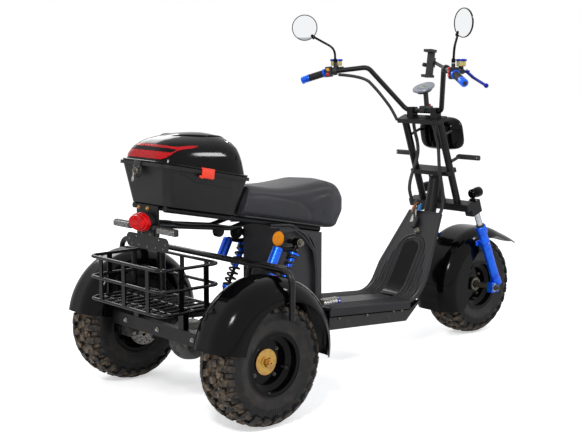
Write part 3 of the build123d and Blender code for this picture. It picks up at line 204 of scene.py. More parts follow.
floor_mesh.materials.append(paper)
print("floor", 2 * floor_half, "m wide,", floor_drop * 1000, "mm under the tyres")

# %% [markdown]
# ## Finishes
# Each finish is a Principled shader whose colour, roughness and bump come from noise of a real
# size. Object coordinates are in metres, so a pattern of so many millimetres has a scale of 1000
# divided by that size. Most finishes need the same three layers: a second colour in patches, a
# roughness that wanders, and a fine bump. One function makes them, and each finish adds what is its
# own.


# %% The common layers
def finish(name, colour, second=None, patch=60, spread=0.5, rough=(0.4, 0.5), grain=1.5, height=0.1,
           cells=False, **sockets):
    """A material with patches of a second colour, wandering roughness and a fine bump. Patch,
    grain and height, which is the depth of the bump, are in millimetres. Spread is the level of
    the noise at which a patch starts."""
    made = bpy.data.materials.new(name)
    made.use_nodes = True
    tree = made.node_tree
    tree.nodes.clear()
    out = add(tree, "ShaderNodeOutputMaterial")
    shader = add(tree, "ShaderNodeBsdfPrincipled", {"Base Color": shade(colour)})
    for socket, value in sockets.items():
        shader.inputs[socket.replace("_", " ")].default_value = value
    tree.links.new(shader.outputs[0], out.inputs["Surface"])
    place = add(tree, "ShaderNodeTexCoord").outputs["Object"]
    clouds = add(tree, "ShaderNodeTexNoise", {"Scale": 1000 / patch, "Detail": 5.0,
                                              "Roughness": 0.6}, Vector=place)
    if second:
        edge = add(tree, "ShaderNodeMapRange", {"From Min": spread, "From Max": spread + 0.22},
                   Value=clouds.outputs["Fac"])
        tint = add(tree, "ShaderNodeMix", {"data_type": "RGBA", 6: shade(colour),
                                           7: shade(second)}, n0=edge.outputs[0])
        tree.links.new(tint.outputs[2], shader.inputs["Base Color"])
    dull = add(tree, "ShaderNodeMapRange", {"From Min": 0.3, "From Max": 0.7, "To Min": rough[0],
                                            "To Max": rough[1]}, Value=clouds.outputs["Fac"])
    tree.links.new(dull.outputs[0], shader.inputs["Roughness"])
    if cells:
        fine = add(tree, "ShaderNodeTexVoronoi", {"Scale": 1000 / grain}, Vector=place)
        level = fine.outputs["Distance"]
    else:
        fine = add(tree, "ShaderNodeTexNoise", {"Scale": 1000 / grain, "Detail": 2.0},
                   Vector=place)
        level = fine.outputs["Fac"]
    bump = add(tree, "ShaderNodeBump", {"Distance": height / 1000, "Strength": 0.6}, Height=level)
    tree.links.new(bump.outputs[0], shader.inputs["Normal"])
    print(name, "with patches of", patch, "mm")
    return made


def shader_of(made):
    """The Principled node of a finish."""
    return next(n for n in made.node_tree.nodes if n.type == "BSDF_PRINCIPLED")


def colour_of(made):
    """What feeds the colour of a finish: the patch mix's output, or None."""
    links = shader_of(made).inputs["Base Color"].links
    return links[0].from_socket if links else None


# %% [markdown]
# **Baked enamel** covers the fenders, the basket and the hoops: black gloss paint over steel or
# moulded plastic, with a clear top layer. It is sprayed, so it has a faint orange peel a few
# millimetres wide. Dust from riding lies on it in soft brown patches.

# %% Enamels
gloss_enamel = finish("gloss_black_enamel", "#050506", "#0d0b0a", patch=140, spread=0.52,
                      rough=(0.08, 0.16), grain=5, height=0.02, Specular_IOR_Level=0.13)
worn_enamel = finish("worn_black_enamel", "#0b0a0a", "#2e211b", patch=34, spread=0.56,
                     rough=(0.22, 0.42), grain=3, height=0.06, Specular_IOR_Level=0.3)
satin_enamel = finish("satin_black_enamel", "#0d0d0e", "#17161a", patch=50, rough=(0.34, 0.46),
                      grain=1.6, height=0.04, Specular_IOR_Level=0.25)
dusty_enamel = finish("dusty_black_enamel", "#131213", "#3a322b", patch=45, spread=0.54,
                      rough=(0.5, 0.75), grain=2, height=0.12)
basket_enamel = finish("basket_black_enamel", "#060607", "#151211", spread=0.55,
                       rough=(0.12, 0.24), grain=3, height=0.03, Specular_IOR_Level=0.25)

# %% [markdown]
# **Moulded ABS** with an etched grain makes the battery box, the footboard and the tub of the top
# case. The grain of the mould is about a millimetre wide, and is drawn at two so that it shows.
# The lid of the case is the same plastic from a polished mould.

# %% Plastics
grained_abs = finish("grained_black_abs", "#19191b", "#222225", patch=90, spread=0.45,
                     rough=(0.42, 0.56), grain=2.2, height=0.14, cells=True)
board_abs = finish("footboard_abs", "#0f0f12", "#1b1b20", patch=110, spread=0.45,
                   rough=(0.36, 0.52), grain=2.0, cells=True, Specular_IOR_Level=0.34)
tub_abs = finish("case_tub_abs", "#0e0e0f", "#1f1b1a", patch=120, spread=0.46, rough=(0.38, 0.5),
                 grain=2.0, cells=True, Specular_IOR_Level=0.3)
polished_abs = finish("polished_black_abs", "#040405", "#08080a", patch=160, rough=(0.07, 0.13),
                      grain=6, height=0.015, Specular_IOR_Level=0.13)
matt_nylon = finish("matt_black_nylon", "#121213", "#1c1c1e", patch=30, rough=(0.5, 0.62),
                    grain=1.2, height=0.08)
orange_abs = finish("orange_latch_abs", "#e8391b", "#d42f14", patch=12, rough=(0.32, 0.42),
                    height=0.03)
pale_plug = finish("pale_plug_nylon", "#cfcfc8", "#a9aaa6", patch=8, rough=(0.4, 0.55), grain=1,
                   height=0.05)
orange_plug = finish("orange_plug_nylon", "#c9741c", "#7d4a1a", patch=6, rough=(0.4, 0.55),
                     grain=1, height=0.05)
blue_plug = finish("blue_plug_nylon", "#3a7fc0", "#27567f", patch=6, rough=(0.4, 0.55), grain=1,
                   height=0.05)
cream_plastic = finish("cream_reservoir_plastic", "#b9a865", "#8b7c45", patch=18,
                       rough=(0.3, 0.42), height=0.03)

# %% [markdown]
# **Metals.** Anodised aluminium has a dyed, slightly soft gloss with the fine lines of its
# turning. Hard chrome is nearly a mirror. Zinc on bolts is pale and a little rough. Yellow
# passivated zinc, on the hub flange, drifts from gold to pink as its film changes thickness.

# %% Metals
blue_anodised = finish("blue_anodised_aluminium", "#0d66f2", "#0a48d2", patch=25, spread=0.45,
                       rough=(0.24, 0.34), grain=0.8, height=0.02, Metallic=0.55, Coat_Weight=0.15)
deep_blue = finish("deep_blue_anodised_aluminium", "#0e26a0", "#0a1c78", patch=20, spread=0.45,
                   rough=(0.22, 0.36), grain=0.8, height=0.02, Metallic=0.8)
hard_chrome = finish("hard_chrome", "#c9cbcf", "#a9abb0", patch=20, rough=(0.08, 0.2), height=0.01,
                     Metallic=1.0)
bright_zinc = finish("zinc_plated_steel", "#b4b4b2", "#7e7c76", patch=7, rough=(0.28, 0.45),
                     grain=0.9, height=0.05, Metallic=1.0)
dull_zinc = finish("dulled_zinc_steel", "#77746a", "#4f4a40", patch=8, spread=0.45,
                   rough=(0.4, 0.6), grain=1, height=0.08, Metallic=0.9)
yellow_zinc = finish("yellow_passivated_zinc", "#c9a253", "#b98660", patch=22, spread=0.45,
                     rough=(0.26, 0.42), grain=0.9, height=0.04, Metallic=0.9)
drilled_steel = finish("brake_disc_steel", "#8e8b88", "#6a645e", patch=14, rough=(0.3, 0.45),
                       grain=0.7, height=0.04, Metallic=1.0)
cast_grey = finish("cast_grey_aluminium", "#5b5a58", "#3a3734", patch=30, spread=0.45,
                   rough=(0.45, 0.65), grain=1.4, height=0.12, Metallic=0.7)
black_spring = finish("black_spring_steel", "#0b0b0c", "#1a1817", patch=15, rough=(0.3, 0.45),
                      height=0.04)

# %% [markdown]
# **Soft and clear things.** The saddle is covered in PU leather with a pebbled grain about two
# millimetres wide and a soft sheen. Reflectors and lamp lenses are acrylic with small prisms.
# The mirror is silvered glass, which is a metal to a renderer.

# %% Leather, rubber and lenses
pu_leather = finish("charcoal_pu_leather", "#202024", "#28282d", patch=120, spread=0.45,
                    rough=(0.46, 0.58), grain=2.4, height=0.16, cells=True, Sheen_Weight=0.06,
                    Specular_IOR_Level=0.35)
seam_thread = finish("seam_thread", "#3c3c42", "#2c2c30", patch=6, rough=(0.6, 0.7), grain=0.8,
                     height=0.08)
grip_rubber = finish("black_grip_rubber", "#161618", "#212123", patch=18, rough=(0.55, 0.7),
                     grain=1.4, height=0.12)
loom_sleeve = finish("black_loom_sleeve", "#0f0f10", "#1d1c1c", patch=12, rough=(0.4, 0.55),
                     grain=1.6, height=0.12)
red_prism = finish("red_reflector_acrylic", "#b00a14", "#6e060c", patch=14, rough=(0.12, 0.24),
                   grain=3.4, height=0.5, cells=True, Coat_Weight=0.06, Coat_Roughness=0.04,
                   Specular_IOR_Level=0.14)
red_lens = finish("red_lamp_acrylic", "#cf070d", "#7c0408", patch=16, rough=(0.08, 0.16),
                  grain=4.5, height=0.6, cells=True, Coat_Weight=0.1, Coat_Roughness=0.03,
                  Specular_IOR_Level=0.16)
amber_prism = finish("amber_reflector_acrylic", "#e48a08", "#b36104", patch=10, rough=(0.14, 0.26),
                     grain=4.2, height=0.6, cells=True, Coat_Weight=0.08, Coat_Roughness=0.04,
                     Specular_IOR_Level=0.16)
smoked_lens = finish("smoked_clear_acrylic", "#4a4744", "#c9c7c2", patch=5, rough=(0.12, 0.3),
                     grain=4, height=0.6, cells=True, Coat_Weight=0.2, Coat_Roughness=0.04)
clear_lens = finish("clear_lamp_acrylic", "#c9ced2", "#9aa2a8", patch=18, rough=(0.06, 0.14),
                    grain=8, height=0.5, cells=True, Coat_Weight=0.35, Coat_Roughness=0.03)
mirror_glass = finish("silvered_glass", "#f2f4f5", None, patch=80, rough=(0.01, 0.03), grain=40,
                      height=0.002, Metallic=1.0)
lcd_glass = finish("display_glass", "#7f8e84", "#6c7a72", patch=26, rough=(0.08, 0.14), grain=20,
                   height=0.01, Coat_Weight=0.35, Coat_Roughness=0.03)
display_grey = finish("grey_display_ring", "#8b8f9a", "#767a86", patch=20, rough=(0.25, 0.36),
                      grain=1.4, height=0.03, Metallic=0.3)
red_button = finish("red_button_plastic", "#d11f1f", "#a81818", patch=5, rough=(0.28, 0.4),
                    grain=1, height=0.03)
orange_button = finish("orange_button_plastic", "#e39a1a", "#c27f12", patch=5, rough=(0.28, 0.4),
                       grain=1, height=0.03)
print("finishes", len(bpy.data.materials))

# %% [markdown]
# ## Making meshes
# Nearly every piece here is a skin over rings of points: a bent tube, a turned wheel, a moulded
# lid. So one small class keeps points in drawing millimetres and the faces between them, and a few
# functions make rings. A form becomes an object in one place, piece(), which also marks the edges
# sharp where two faces meet at a steep angle.


# %% Points and faces
def on_side(point, side):
    """The same point, or its mirror image when side is -1."""
    return Vector((point.x, side * point.y, point.z))


class Form:
    """A mesh in drawing millimetres."""

    def __init__(self, points=(), faces=()):
        self.points = [Vector(p) for p in points]
        self.faces = [list(f) for f in faces]

    def join(self, *others):
        for other in others:
            start = len(self.points)
            self.points += [p.copy() for p in other.points]
            self.faces += [[start + i for i in f] for f in other.faces]
        return self

    def moved(self, matrix):
        return Form([matrix @ p for p in self.points], self.faces)

    def mirrored(self):
        return Form([(p.x, -p.y, p.z) for p in self.points], [f[::-1] for f in self.faces])

    def both(self):
        return Form(self.points, self.faces).join(self.mirrored())


# %% Skins and tubes
def skin(rings, caps=True):
    """Quads between rings of the same number of points, and a face over each end."""
    count = len(rings[0])
    form = Form([p for ring in rings for p in ring])
    last = (len(rings) - 1) * count
    for row in range(0, last, count):
        for i in range(count):
            j = (i + 1) % count
            form.faces.append([row + i, row + j, row + count + j, row + count + i])
    if caps:
        form.faces.append(list(range(count))[::-1])
        form.faces.append([last + i for i in range(count)])
    return form


def circle(radius, sides, turn=0.0):
    """Points of a circle as (across, up) pairs."""
    angles = [turn + 2 * math.pi * i / sides for i in range(sides)]
    return [(radius * math.cos(a), radius * math.sin(a)) for a in angles]


def rings_along(path, section):
    """Rings of a section carried along a path without twisting. Section is a function of the
    path's point number, which gives (across, up) pairs."""
    path = [Vector(p) for p in path]
    ways = [(after - before).normalized()
            for before, after in zip(path[:1] + path, path[1:] + path[-1:])]
    side = ways[0].orthogonal().normalized()
    if abs(ways[0].z) < 0.9:
        side = Vector((0, 0, 1)).cross(ways[0]).normalized()
    rings = []
    for i, way in enumerate(ways):
        side = (side - way * side.dot(way)).normalized()
        up = way.cross(side)
        rings.append([path[i] + side * a + up * b for a, b in section(i)])
    return rings


def tube(path, radius, sides=14):
    """A round tube along a path. Radius is a number or one number for each point."""
    sizes = radius if isinstance(radius, list) else [radius] * len(path)
    return skin(rings_along(path, lambda i: circle(sizes[i], sides)))


# %% Round corners, turned forms and rods
def rounded(points, radius, steps=7):
    """A path whose corners are arcs."""
    points = [Vector(p) for p in points]
    path = [points[0]]
    for before, here, after in zip(points, points[1:], points[2:]):
        way_in, way_out = (here - before).normalized(), (after - here).normalized()
        half = way_in.angle(way_out) / 2
        reach = min(radius * math.tan(half), (here - before).length * 0.49,
                    (after - here).length * 0.49)
        start, end = here - way_in * reach, here + way_out * reach
        for k in range(steps + 1):
            t = k / steps
            path.append(start * (1 - t) ** 2 + here * (2 * t * (1 - t)) + end * t ** 2)
    return path + [points[-1]]


def turned(profile, centre, axis=(0, 1, 0), sides=64, caps=False):
    """A profile of (along, radius) pairs turned about an axis through a point."""
    way = Vector(axis).normalized()
    side = way.orthogonal().normalized()
    if abs(way.y) > 0.9:
        side = Vector((1, 0, 0))
    up = way.cross(side)
    rings = []
    for along, radius in profile:
        ring = []
        for a, b in circle(max(radius, 0.01), sides):
            ring.append(Vector(centre) + way * along + side * a + up * b)
        rings.append(ring)
    return skin(rings, caps=caps)


def rod(start, end, radius, sides=20, edge=0.8):
    """A round bar with a small chamfer at each end."""
    start, end = Vector(start), Vector(end)
    length = (end - start).length
    edge = min(edge, radius * 0.4, length * 0.4)
    return turned([(0, radius - edge), (edge, radius), (length - edge, radius),
                   (length, radius - edge)], start, end - start, sides, caps=True)


# %% Blocks and places
def block(size, place=Matrix.Identity(4), edge=1.5, steps=2):
    """A box with rounded edges, centred on its place."""
    mesh = bmesh.new()
    bmesh.ops.create_cube(mesh, size=1)
    bmesh.ops.scale(mesh, vec=size, verts=mesh.verts)
    if edge:
        bmesh.ops.bevel(mesh, geom=mesh.edges[:], offset=min(edge, min(size) * 0.45),
                        segments=steps, profile=0.5, affect="EDGES")
    mesh.verts.ensure_lookup_table()
    form = Form([v.co for v in mesh.verts], [[v.index for v in f.verts] for f in mesh.faces])
    mesh.free()
    return form.moved(place)


def placed(point, turn=(0, 0, 0)):
    """A matrix that turns by degrees about X, Y and Z, and then moves to a point."""
    turns = Euler([math.radians(t) for t in turn]).to_matrix().to_4x4()
    return Matrix.Translation(Vector(point)) @ turns


def aimed(point, way):
    """A matrix whose Z points a given way from a point."""
    turn = Vector(way).to_track_quat("Z", "Y").to_matrix().to_4x4()
    return Matrix.Translation(Vector(point)) @ turn


# %% Bolts and plates
def bolt(point, way, size=12, height=6, washer=True):
    """A hexagon head with its washer, standing on a point and facing a way."""
    form, lift = Form(), 0
    if washer:
        lift = 1.6
        form.join(turned([(0, size * 0.72), (1.2, size * 0.72), (1.6, size * 0.68), (1.6, 0)],
                         (0, 0, 0), (0, 0, 1), 20, caps=True))
    top = [(lift, size / 2), (lift + height * 0.8, size / 2), (lift + height, size * 0.42),
           (lift + height, size * 0.2), (lift + height - 0.6, size * 0.16)]
    form.join(turned(top, (0, 0, 0), (0, 0, 1), 6, caps=True))
    return form.moved(aimed(point, way))


def plate(outline, holes, thickness, place):
    """A flat plate with round holes, from outline points and (across, up, radius) holes."""
    edge = 0.4
    curve = bpy.data.curves.new("outline", "CURVE")
    curve.dimensions, curve.fill_mode = "2D", "BOTH"
    curve.extrude, curve.bevel_depth = thickness / 2 - edge, edge
    curve.bevel_resolution, curve.offset = 1, -edge
    loops = [outline] + [[(x + a, y + b) for a, b in circle(r, 14)] for x, y, r in holes]
    for loop in loops:
        spline = curve.splines.new("POLY")
        spline.points.add(len(loop) - 1)
        for point, (x, y) in zip(spline.points, loop):
            point.co = (x, y, 0, 1)
        spline.use_cyclic_u = True
    thing = bpy.data.objects.new("outline", curve)
    mesh = bpy.data.meshes.new_from_object(thing)
    form = Form([v.co for v in mesh.vertices], [p.vertices for p in mesh.polygons])
    bpy.data.objects.remove(thing)
    bpy.data.meshes.remove(mesh)
    return form.moved(place)


# %% From form to object
faces_made = {}


def piece(name, form, coat, body, stands_for=(), sharp=34):
    """Makes the object of a form, with its finish, and rides it on a body. Edges steeper than so
    many degrees are sharp."""
    mesh = bpy.data.meshes.new(name)
    mesh.from_pydata([to_metres @ p for p in form.points], [], form.faces)
    tidy = bmesh.new()
    tidy.from_mesh(mesh)
    bmesh.ops.remove_doubles(tidy, verts=tidy.verts, dist=0.00002)
    bmesh.ops.recalc_face_normals(tidy, faces=tidy.faces)
    tidy.to_mesh(mesh)
    tidy.free()
    mesh.shade_smooth()
    mesh.set_sharp_from_angle(angle=math.radians(sharp))
    mesh.materials.append(coat)
    made = bpy.data.objects.new(name, mesh)
    bpy.context.scene.collection.objects.link(made)
    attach(made, body)
    if stands_for:
        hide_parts(*stands_for)
    faces_made[name] = len(mesh.polygons)
    print(name, faces_made[name], "faces in", coat.name)
    return made


def dress(coat, *names, edge=0.0):
    """Gives CAD nodes a finish, and rounds their edges by so many millimetres."""
    for name in names:
        thing = nodes[name]
        thing.data.materials.clear()
        thing.data.materials.append(coat)
        if edge:
            soften = thing.modifiers.new("edge", "BEVEL")
            soften.width, soften.segments = edge / 1000, 2
            soften.limit_method, soften.angle_limit = "ANGLE", math.radians(50)
            thing.modifiers.new("shading", "WEIGHTED_NORMAL").keep_sharp = True
    print(coat.name, "on", ", ".join(names))

# %% [markdown]
# ## CAD pieces that keep their shape
# Most large parts of this vehicle are already right in CAD: tubes, plates, castings and mouldings.
# They only need a finish. Blocky parts also get a small rounded edge, because no painted steel has
# a razor edge, and that edge is what catches the light.

# %% Paint what stays
dress(satin_enamel, "frame", "seat_rack", "handlebar")
dress(satin_enamel, "fork_yoke", "rear_subframe", edge=1.2)
dress(worn_enamel, "fender_hoops")
dress(gloss_enamel, "rear_fenders", "front_fender")
dress(basket_enamel, "basket_floor", "basket_rails", "basket_strips")
dress(gloss_enamel, "rear_left_rim", "rear_right_rim", "front_rim")
dress(dusty_enamel, "floor_pan", "plate_bracket")
dress(cast_grey, "drive_motor", "axle_housing", "brake_caliper")
dress(yellow_zinc, "rear_left_hub", "rear_right_hub")
dress(satin_enamel, "front_hub")
dress(hard_chrome, "fork_stanchions")
dress(blue_anodised, "fork_sliders")
dress(dull_zinc, "front_axle")
dress(grained_abs, "battery_box", "battery_block")
dress(board_abs, "footboard")
dress(tub_abs, "case_tub")
dress(matt_nylon, "phone_holder", "bar_controls", edge=1.0)

# %% [markdown]
# ## Balloon tyres
# A fat off-road tyre is a smooth round carcass with separate rubber lugs moulded onto it: staggered
# blocks in the middle, and long lugs that wrap over the shoulder. The carcass is one profile
# turned about the axle. Each lug is a small slab that follows that profile, with walls that slope
# a little, as a mould needs. Dust sits on the lugs and the grooves, and less on the side wall.

# %% Tyre rubber
tyre_rubber = finish("tyre_rubber", "#0e0e0f", "#2e2823", patch=46, spread=0.48, rough=(0.4, 0.66),
                     grain=3, height=0.35, Specular_IOR_Level=0.34)
tree = tyre_rubber.node_tree
place = add(tree, "ShaderNodeTexCoord").outputs["Object"]
split = add(tree, "ShaderNodeSeparateXYZ", None, Vector=place)
flat = add(tree, "ShaderNodeCombineXYZ", None, X=split.outputs["X"], Y=split.outputs["Z"])
reach = add(tree, "ShaderNodeVectorMath", {"operation": "LENGTH"}, n0=flat.outputs[0])
tread = add(tree, "ShaderNodeMapRange", {"From Min": 0.185, "From Max": 0.222},
            Value=reach.outputs["Value"])
clods = add(tree, "ShaderNodeTexNoise", {"Scale": 1000 / 24, "Detail": 6.0, "Roughness": 0.7},
            Vector=place)
dusty = add(tree, "ShaderNodeMapRange", {"From Min": 0.46, "From Max": 0.6, "To Max": 0.8},
            Value=clods.outputs["Fac"])
cover = add(tree, "ShaderNodeMath", {"operation": "MULTIPLY"}, n0=tread.outputs[0],
            n1=dusty.outputs[0])
mud = add(tree, "ShaderNodeMix", {"data_type": "RGBA", 7: shade("#7a6650")}, n0=cover.outputs[0],
          n6=colour_of(tyre_rubber))
tree.links.new(mud.outputs[2], shader_of(tyre_rubber).inputs["Base Color"])

# %% The carcass profile
half_profile = [(0, 216), (24, 215.5), (44, 213), (60, 207), (72, 197), (80, 184), (84.5, 170),
                (85, 156), (82, 142), (78, 130), (75.5, 122), (76.5, 119), (75.5, 116), (73, 112),
                (71, 104)]
crown_radius = half_profile[0][1]
lug_pitches = 26


def along_profile(distance):
    """Point and outward way of the carcass at a distance from the middle of the tread."""
    left = abs(distance)
    for (y0, r0), (y1, r1) in zip(half_profile, half_profile[1:]):
        step = math.hypot(y1 - y0, r1 - r0)
        if left <= step:
            share, sign = left / step, -1 if distance < 0 else 1
            out = Vector((sign * (r0 - r1), abs(y1 - y0))).normalized()
            return (sign * (y0 + share * (y1 - y0)), r0 + share * (r1 - r0)), out
        left -= step
    raise ValueError("off the end of the profile")


def lug(middle, length, start, end, height, skew=0.0, steps=3):
    """A tread block: its angle, its length round the tyre, where it starts and ends across, its
    height, and how far its far end leads."""
    rows = []
    for k in range(steps + 1):
        distance = start + (end - start) * k / steps
        (y, r), out = along_profile(distance)
        half = length / 2 * (0.86 if k in (0, steps) else 1)
        centre = middle + skew * (distance - start) / crown_radius
        ring = []
        for lift, share in ((-2, 1.12), (height * 0.82, 1.0), (height, 0.88)):
            for sign in (-1, 1):
                angle = centre + sign * half * share / r
                radius = r + out.y * lift
                ring.append((math.cos(angle) * radius, y + out.x * lift,
                             math.sin(angle) * radius))
        rows.append([ring[i] for i in (0, 2, 4, 5, 3, 1)])
    return skin(rows)


def knobby_tyre(turn):
    """Carcass with its lugs, about its own centre."""
    profile = [(-y, r) for y, r in half_profile[::-1]] + half_profile[1:]
    form = turned(profile, (0, 0, 0), sides=96)
    half = math.pi / lug_pitches
    for k in range(lug_pitches):
        angle = turn + 2 * half * k
        for side in (1, -1):
            shift = 0 if side > 0 else half
            form.join(lug(angle + shift, 27, side * 5, side * 33, 12, skew=0.35),
                      lug(angle + shift + half * 1.1, 25, side * 37, side * 60, 11.5, skew=-0.3),
                      lug(angle + shift + half * 0.15, 24, side * 40, side * 93, 10.5, steps=5),
                      lug(angle + shift + half, 15, side * 66, side * 84, 8))
        for fin in range(4):
            for side in (1, -1):
                form.join(lug(angle + half * (0.25 + fin * 0.5), 3.2, side * 104, side * 122, 1.6,
                              steps=2))
    return form


print("carcass", 2 * crown_radius, "mm high and", 2 * max(x for x, _ in half_profile), "mm wide")

# %% Put a tyre on each wheel
def stand_alone(name, form, coat, body, centre, stands_for):
    """A piece whose own origin is at a centre, so that its finish is measured from there."""
    made = piece(name, form, coat, body, stands_for)
    made.data.transform(Matrix.Translation(-to_metres.translation))
    made.parent = None
    made.matrix_world = Matrix.Translation(to_metres @ Vector(centre))
    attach(made, body)


wheels = {}
for name in ("rear_left", "rear_right", "front"):
    low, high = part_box(name + "_tyre")
    middle = (low + high) / 2
    wheels[name] = ((middle.x - rear_axle_x) * 1000, middle.y * 1000, middle.z * 1000)
for name, turn in (("rear_left", 0.04), ("rear_right", 0.0), ("front", 0.09)):
    stand_alone(name + "_knobby_tyre", knobby_tyre(turn), tyre_rubber, name + "_wheel",
                wheels[name], [name + "_tyre"])
print("wheel centres", {k: [round(c) for c in v] for k, v in wheels.items()})

# %% [markdown]
# **Rims and hubs.** The pressed steel rim is black, with a deep dish. A gold passivated flange
# plate sits at its bottom under one large nut, and four dull bolts hold the rim. The front wheel
# has a dull ring nut.


# %% Rim trim
def rim_trim(name, side, gold):
    """Bolts, hub nut, valve and lip of a wheel, on its outer side."""
    x, y, z = wheels[name]
    body = name + "_wheel"
    way = (0, side, 0)
    face = y + side * 26
    bolts = Form()
    for across, up in circle(64, 4, math.radians(38)):
        bolts.join(bolt((x + across, face - side * 0.5, z + up), way, 10, 5))
    piece(name + "_rim_bolts", bolts, dull_zinc, body)
    valve = rod((x + 74, face - side * 2, z - 30), (x + 70, face + side * 24, z - 28), 4)
    valve.join(rod((x + 70.5, face + side * 20, z - 28), (x + 69, face + side * 32, z - 27.5), 5))
    piece(name + "_valve", valve, grip_rubber, body)
    bead = turned([(0, 114.2), (1.5, 116.6), (4, 117.2), (6, 116), (6.6, 113)],
                  (x, y + side * 71, z), way, 80)
    piece(name + "_rim_lip", bead.join(turned([(0, 80), (0.8, 81.5), (0.8, 83), (0, 84)],
                                              (x, face - side * 0.2, z), way, 64)),
          worn_enamel, body)
    if gold:
        seat_of_nut = (x, face + side * 4.6, z)
        nut = turned([(0, 21), (2, 21), (2.6, 20), (2.6, 12)], seat_of_nut, way, 32)
        nut.join(turned([(2.6, 17), (12, 17), (14, 15.5), (14, 9), (12, 8.6)], seat_of_nut, way, 6),
                 turned([(12, 9), (25, 9), (26, 8), (26, 3.4), (20, 3)], seat_of_nut, way, 24))
        piece(name + "_hub_nut", nut, yellow_zinc, body)


for name, side, gold in (("rear_right", -1, True), ("rear_left", 1, True), ("front", -1, False)):
    rim_trim(name, side, gold)
x, y, z = wheels["front"]
ring = turned([(0, 20), (0, 30), (3, 31), (9, 31), (11, 29.5), (11, 24), (8, 23), (8, 18)],
              (x, -42, z), (0, -1, 0), 48)
piece("front_ring_nut", ring, dull_zinc, "front_wheel")

# %% [markdown]
# **Brake.** The disc on the left half-shaft is drilled all over, so that it sheds water and heat.
# Its holes are real holes in a flat plate. A cast caliper straddles its rear edge.

# %% Drilled disc
disc_low, disc_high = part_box("brake_disc")
disc_y = (disc_low.y + disc_high.y) / 2 * 1000
disc_radius = (disc_high.z - disc_low.z) / 2 * 1000
holes = [(0, 0, 20.2)]
for ring_radius, count, turn in ((50, 12, 0), (59, 15, 0.2), (68, 18, 0.1)):
    holes += [(a, b, 3.1) for a, b in circle(ring_radius, count, turn)]
holes += [(a, b, 8) for a, b in circle(34, 6, 0.3)]
disc = plate(circle(disc_radius - 0.2, 72), holes, disc_high.y * 1000 - disc_low.y * 1000,
             placed((0, disc_y, axle_z), (90, 0, 0)))
piece("drilled_brake_disc", disc, drilled_steel, "rear_left_wheel", ["brake_disc"])
caliper_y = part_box("brake_caliper")[1].y * 1000
trim = Form()
for z in (axle_z - 15, axle_z + 15):
    trim.join(bolt((-68, caliper_y, z), (0, 1, 0), 10, 5),
              bolt((-68, caliper_y - 48, z), (0, -1, 0), 10, 5))
trim.join(bolt((-68, caliper_y - 56, 300), (0, -1, 0), 11, 6))
piece("caliper_bolts", trim, bright_zinc, "chassis")
print("disc radius", round(disc_radius, 1), "mm,", len(holes), "holes")

# %% [markdown]
# ## Saddle
# The saddle is moulded foam under a tight leather cover: a closed form with soft edges and a
# crowned top. It starts as a copy of the CAD solid. A voxel remesh gives it even faces, pressure
# in a short cloth simulation swells it a few millimetres between its seams, and smoothing rounds
# what the foam would round. The seam on each side is drawn afterwards as a sunken line with
# thread beside it, because a remesh would lose it.


# %% Even faces
def remeshed_copy(name, source, voxel):
    """A new object with a copy of a CAD node's mesh, remeshed to even faces."""
    mesh = nodes[source].data.copy()
    made = bpy.data.objects.new(name, mesh)
    bpy.context.scene.collection.objects.link(made)
    remesh = made.modifiers.new("remesh", "REMESH")
    remesh.mode, remesh.voxel_size = "VOXEL", voxel / 1000
    relax = made.modifiers.new("relax", "SMOOTH")
    relax.iterations, relax.factor = 9, 0.5
    apply_modifiers(made)
    return made


def apply_modifiers(made):
    """Replaces an object's mesh by what its modifiers make of it."""
    graph = bpy.context.evaluated_depsgraph_get()
    graph.update()
    final = bpy.data.meshes.new_from_object(made.evaluated_get(graph))
    made.modifiers.clear()
    made.data = final


def swell(made, pressure, most):
    """Blows a closed mesh up with cloth pressure, moving no point further than a limit in mm."""
    rest = [v.co.copy() for v in made.data.vertices]
    cloth = made.modifiers.new("cloth", "CLOTH")
    cloth.settings.use_pressure = True
    cloth.settings.uniform_pressure_force = pressure
    cloth.settings.effector_weights.gravity = 0
    scene = bpy.context.scene
    for number in range(1, 21):
        scene.frame_set(number)
    graph = bpy.context.evaluated_depsgraph_get()
    blown = [v.co.copy() for v in made.evaluated_get(graph).data.vertices]
    made.modifiers.clear()
    scene.frame_set(1)
    for vertex, start, end in zip(made.data.vertices, rest, blown):
        move = end - start
        if move.length > most / 1000:
            move = move.normalized() * most / 1000
        vertex.co = start + move
    made.data.update()


seat = remeshed_copy("saddle", "seat", 6)
swell(seat, 4, 3)
print("saddle points", len(seat.data.vertices))

# %% [markdown]
# The nose, the crown and the seam are moves of the saddle's own points. The nose drops and draws in
# towards its tip, and tucks back under. The top is crowned. The seam runs forward along the side
# and turns down before the nose. Points near that line sink, as the cover is pulled in there.

# %% Nose, crown and seam
seat_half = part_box("seat")[1].y * 1000
nose_start, nose_length = 560, 207
seam_line = rounded([(x, 0, z) for x, z in ((150, 768), (250, 762), (350, 743), (430, 722),
                                            (480, 692), (498, 655), (498, 606))], 60, 6)


def seam_distance(x, z):
    """Distance in millimetres from the seam line, seen from the side."""
    best = math.inf
    for a, b in zip(seam_line, seam_line[1:]):
        way = b - a
        share = max(0, min(1, ((x - a.x) * way.x + (z - a.z) * way.z) / way.length_squared))
        best = min(best, math.hypot(x - a.x - way.x * share, z - a.z - way.z * share))
    return best


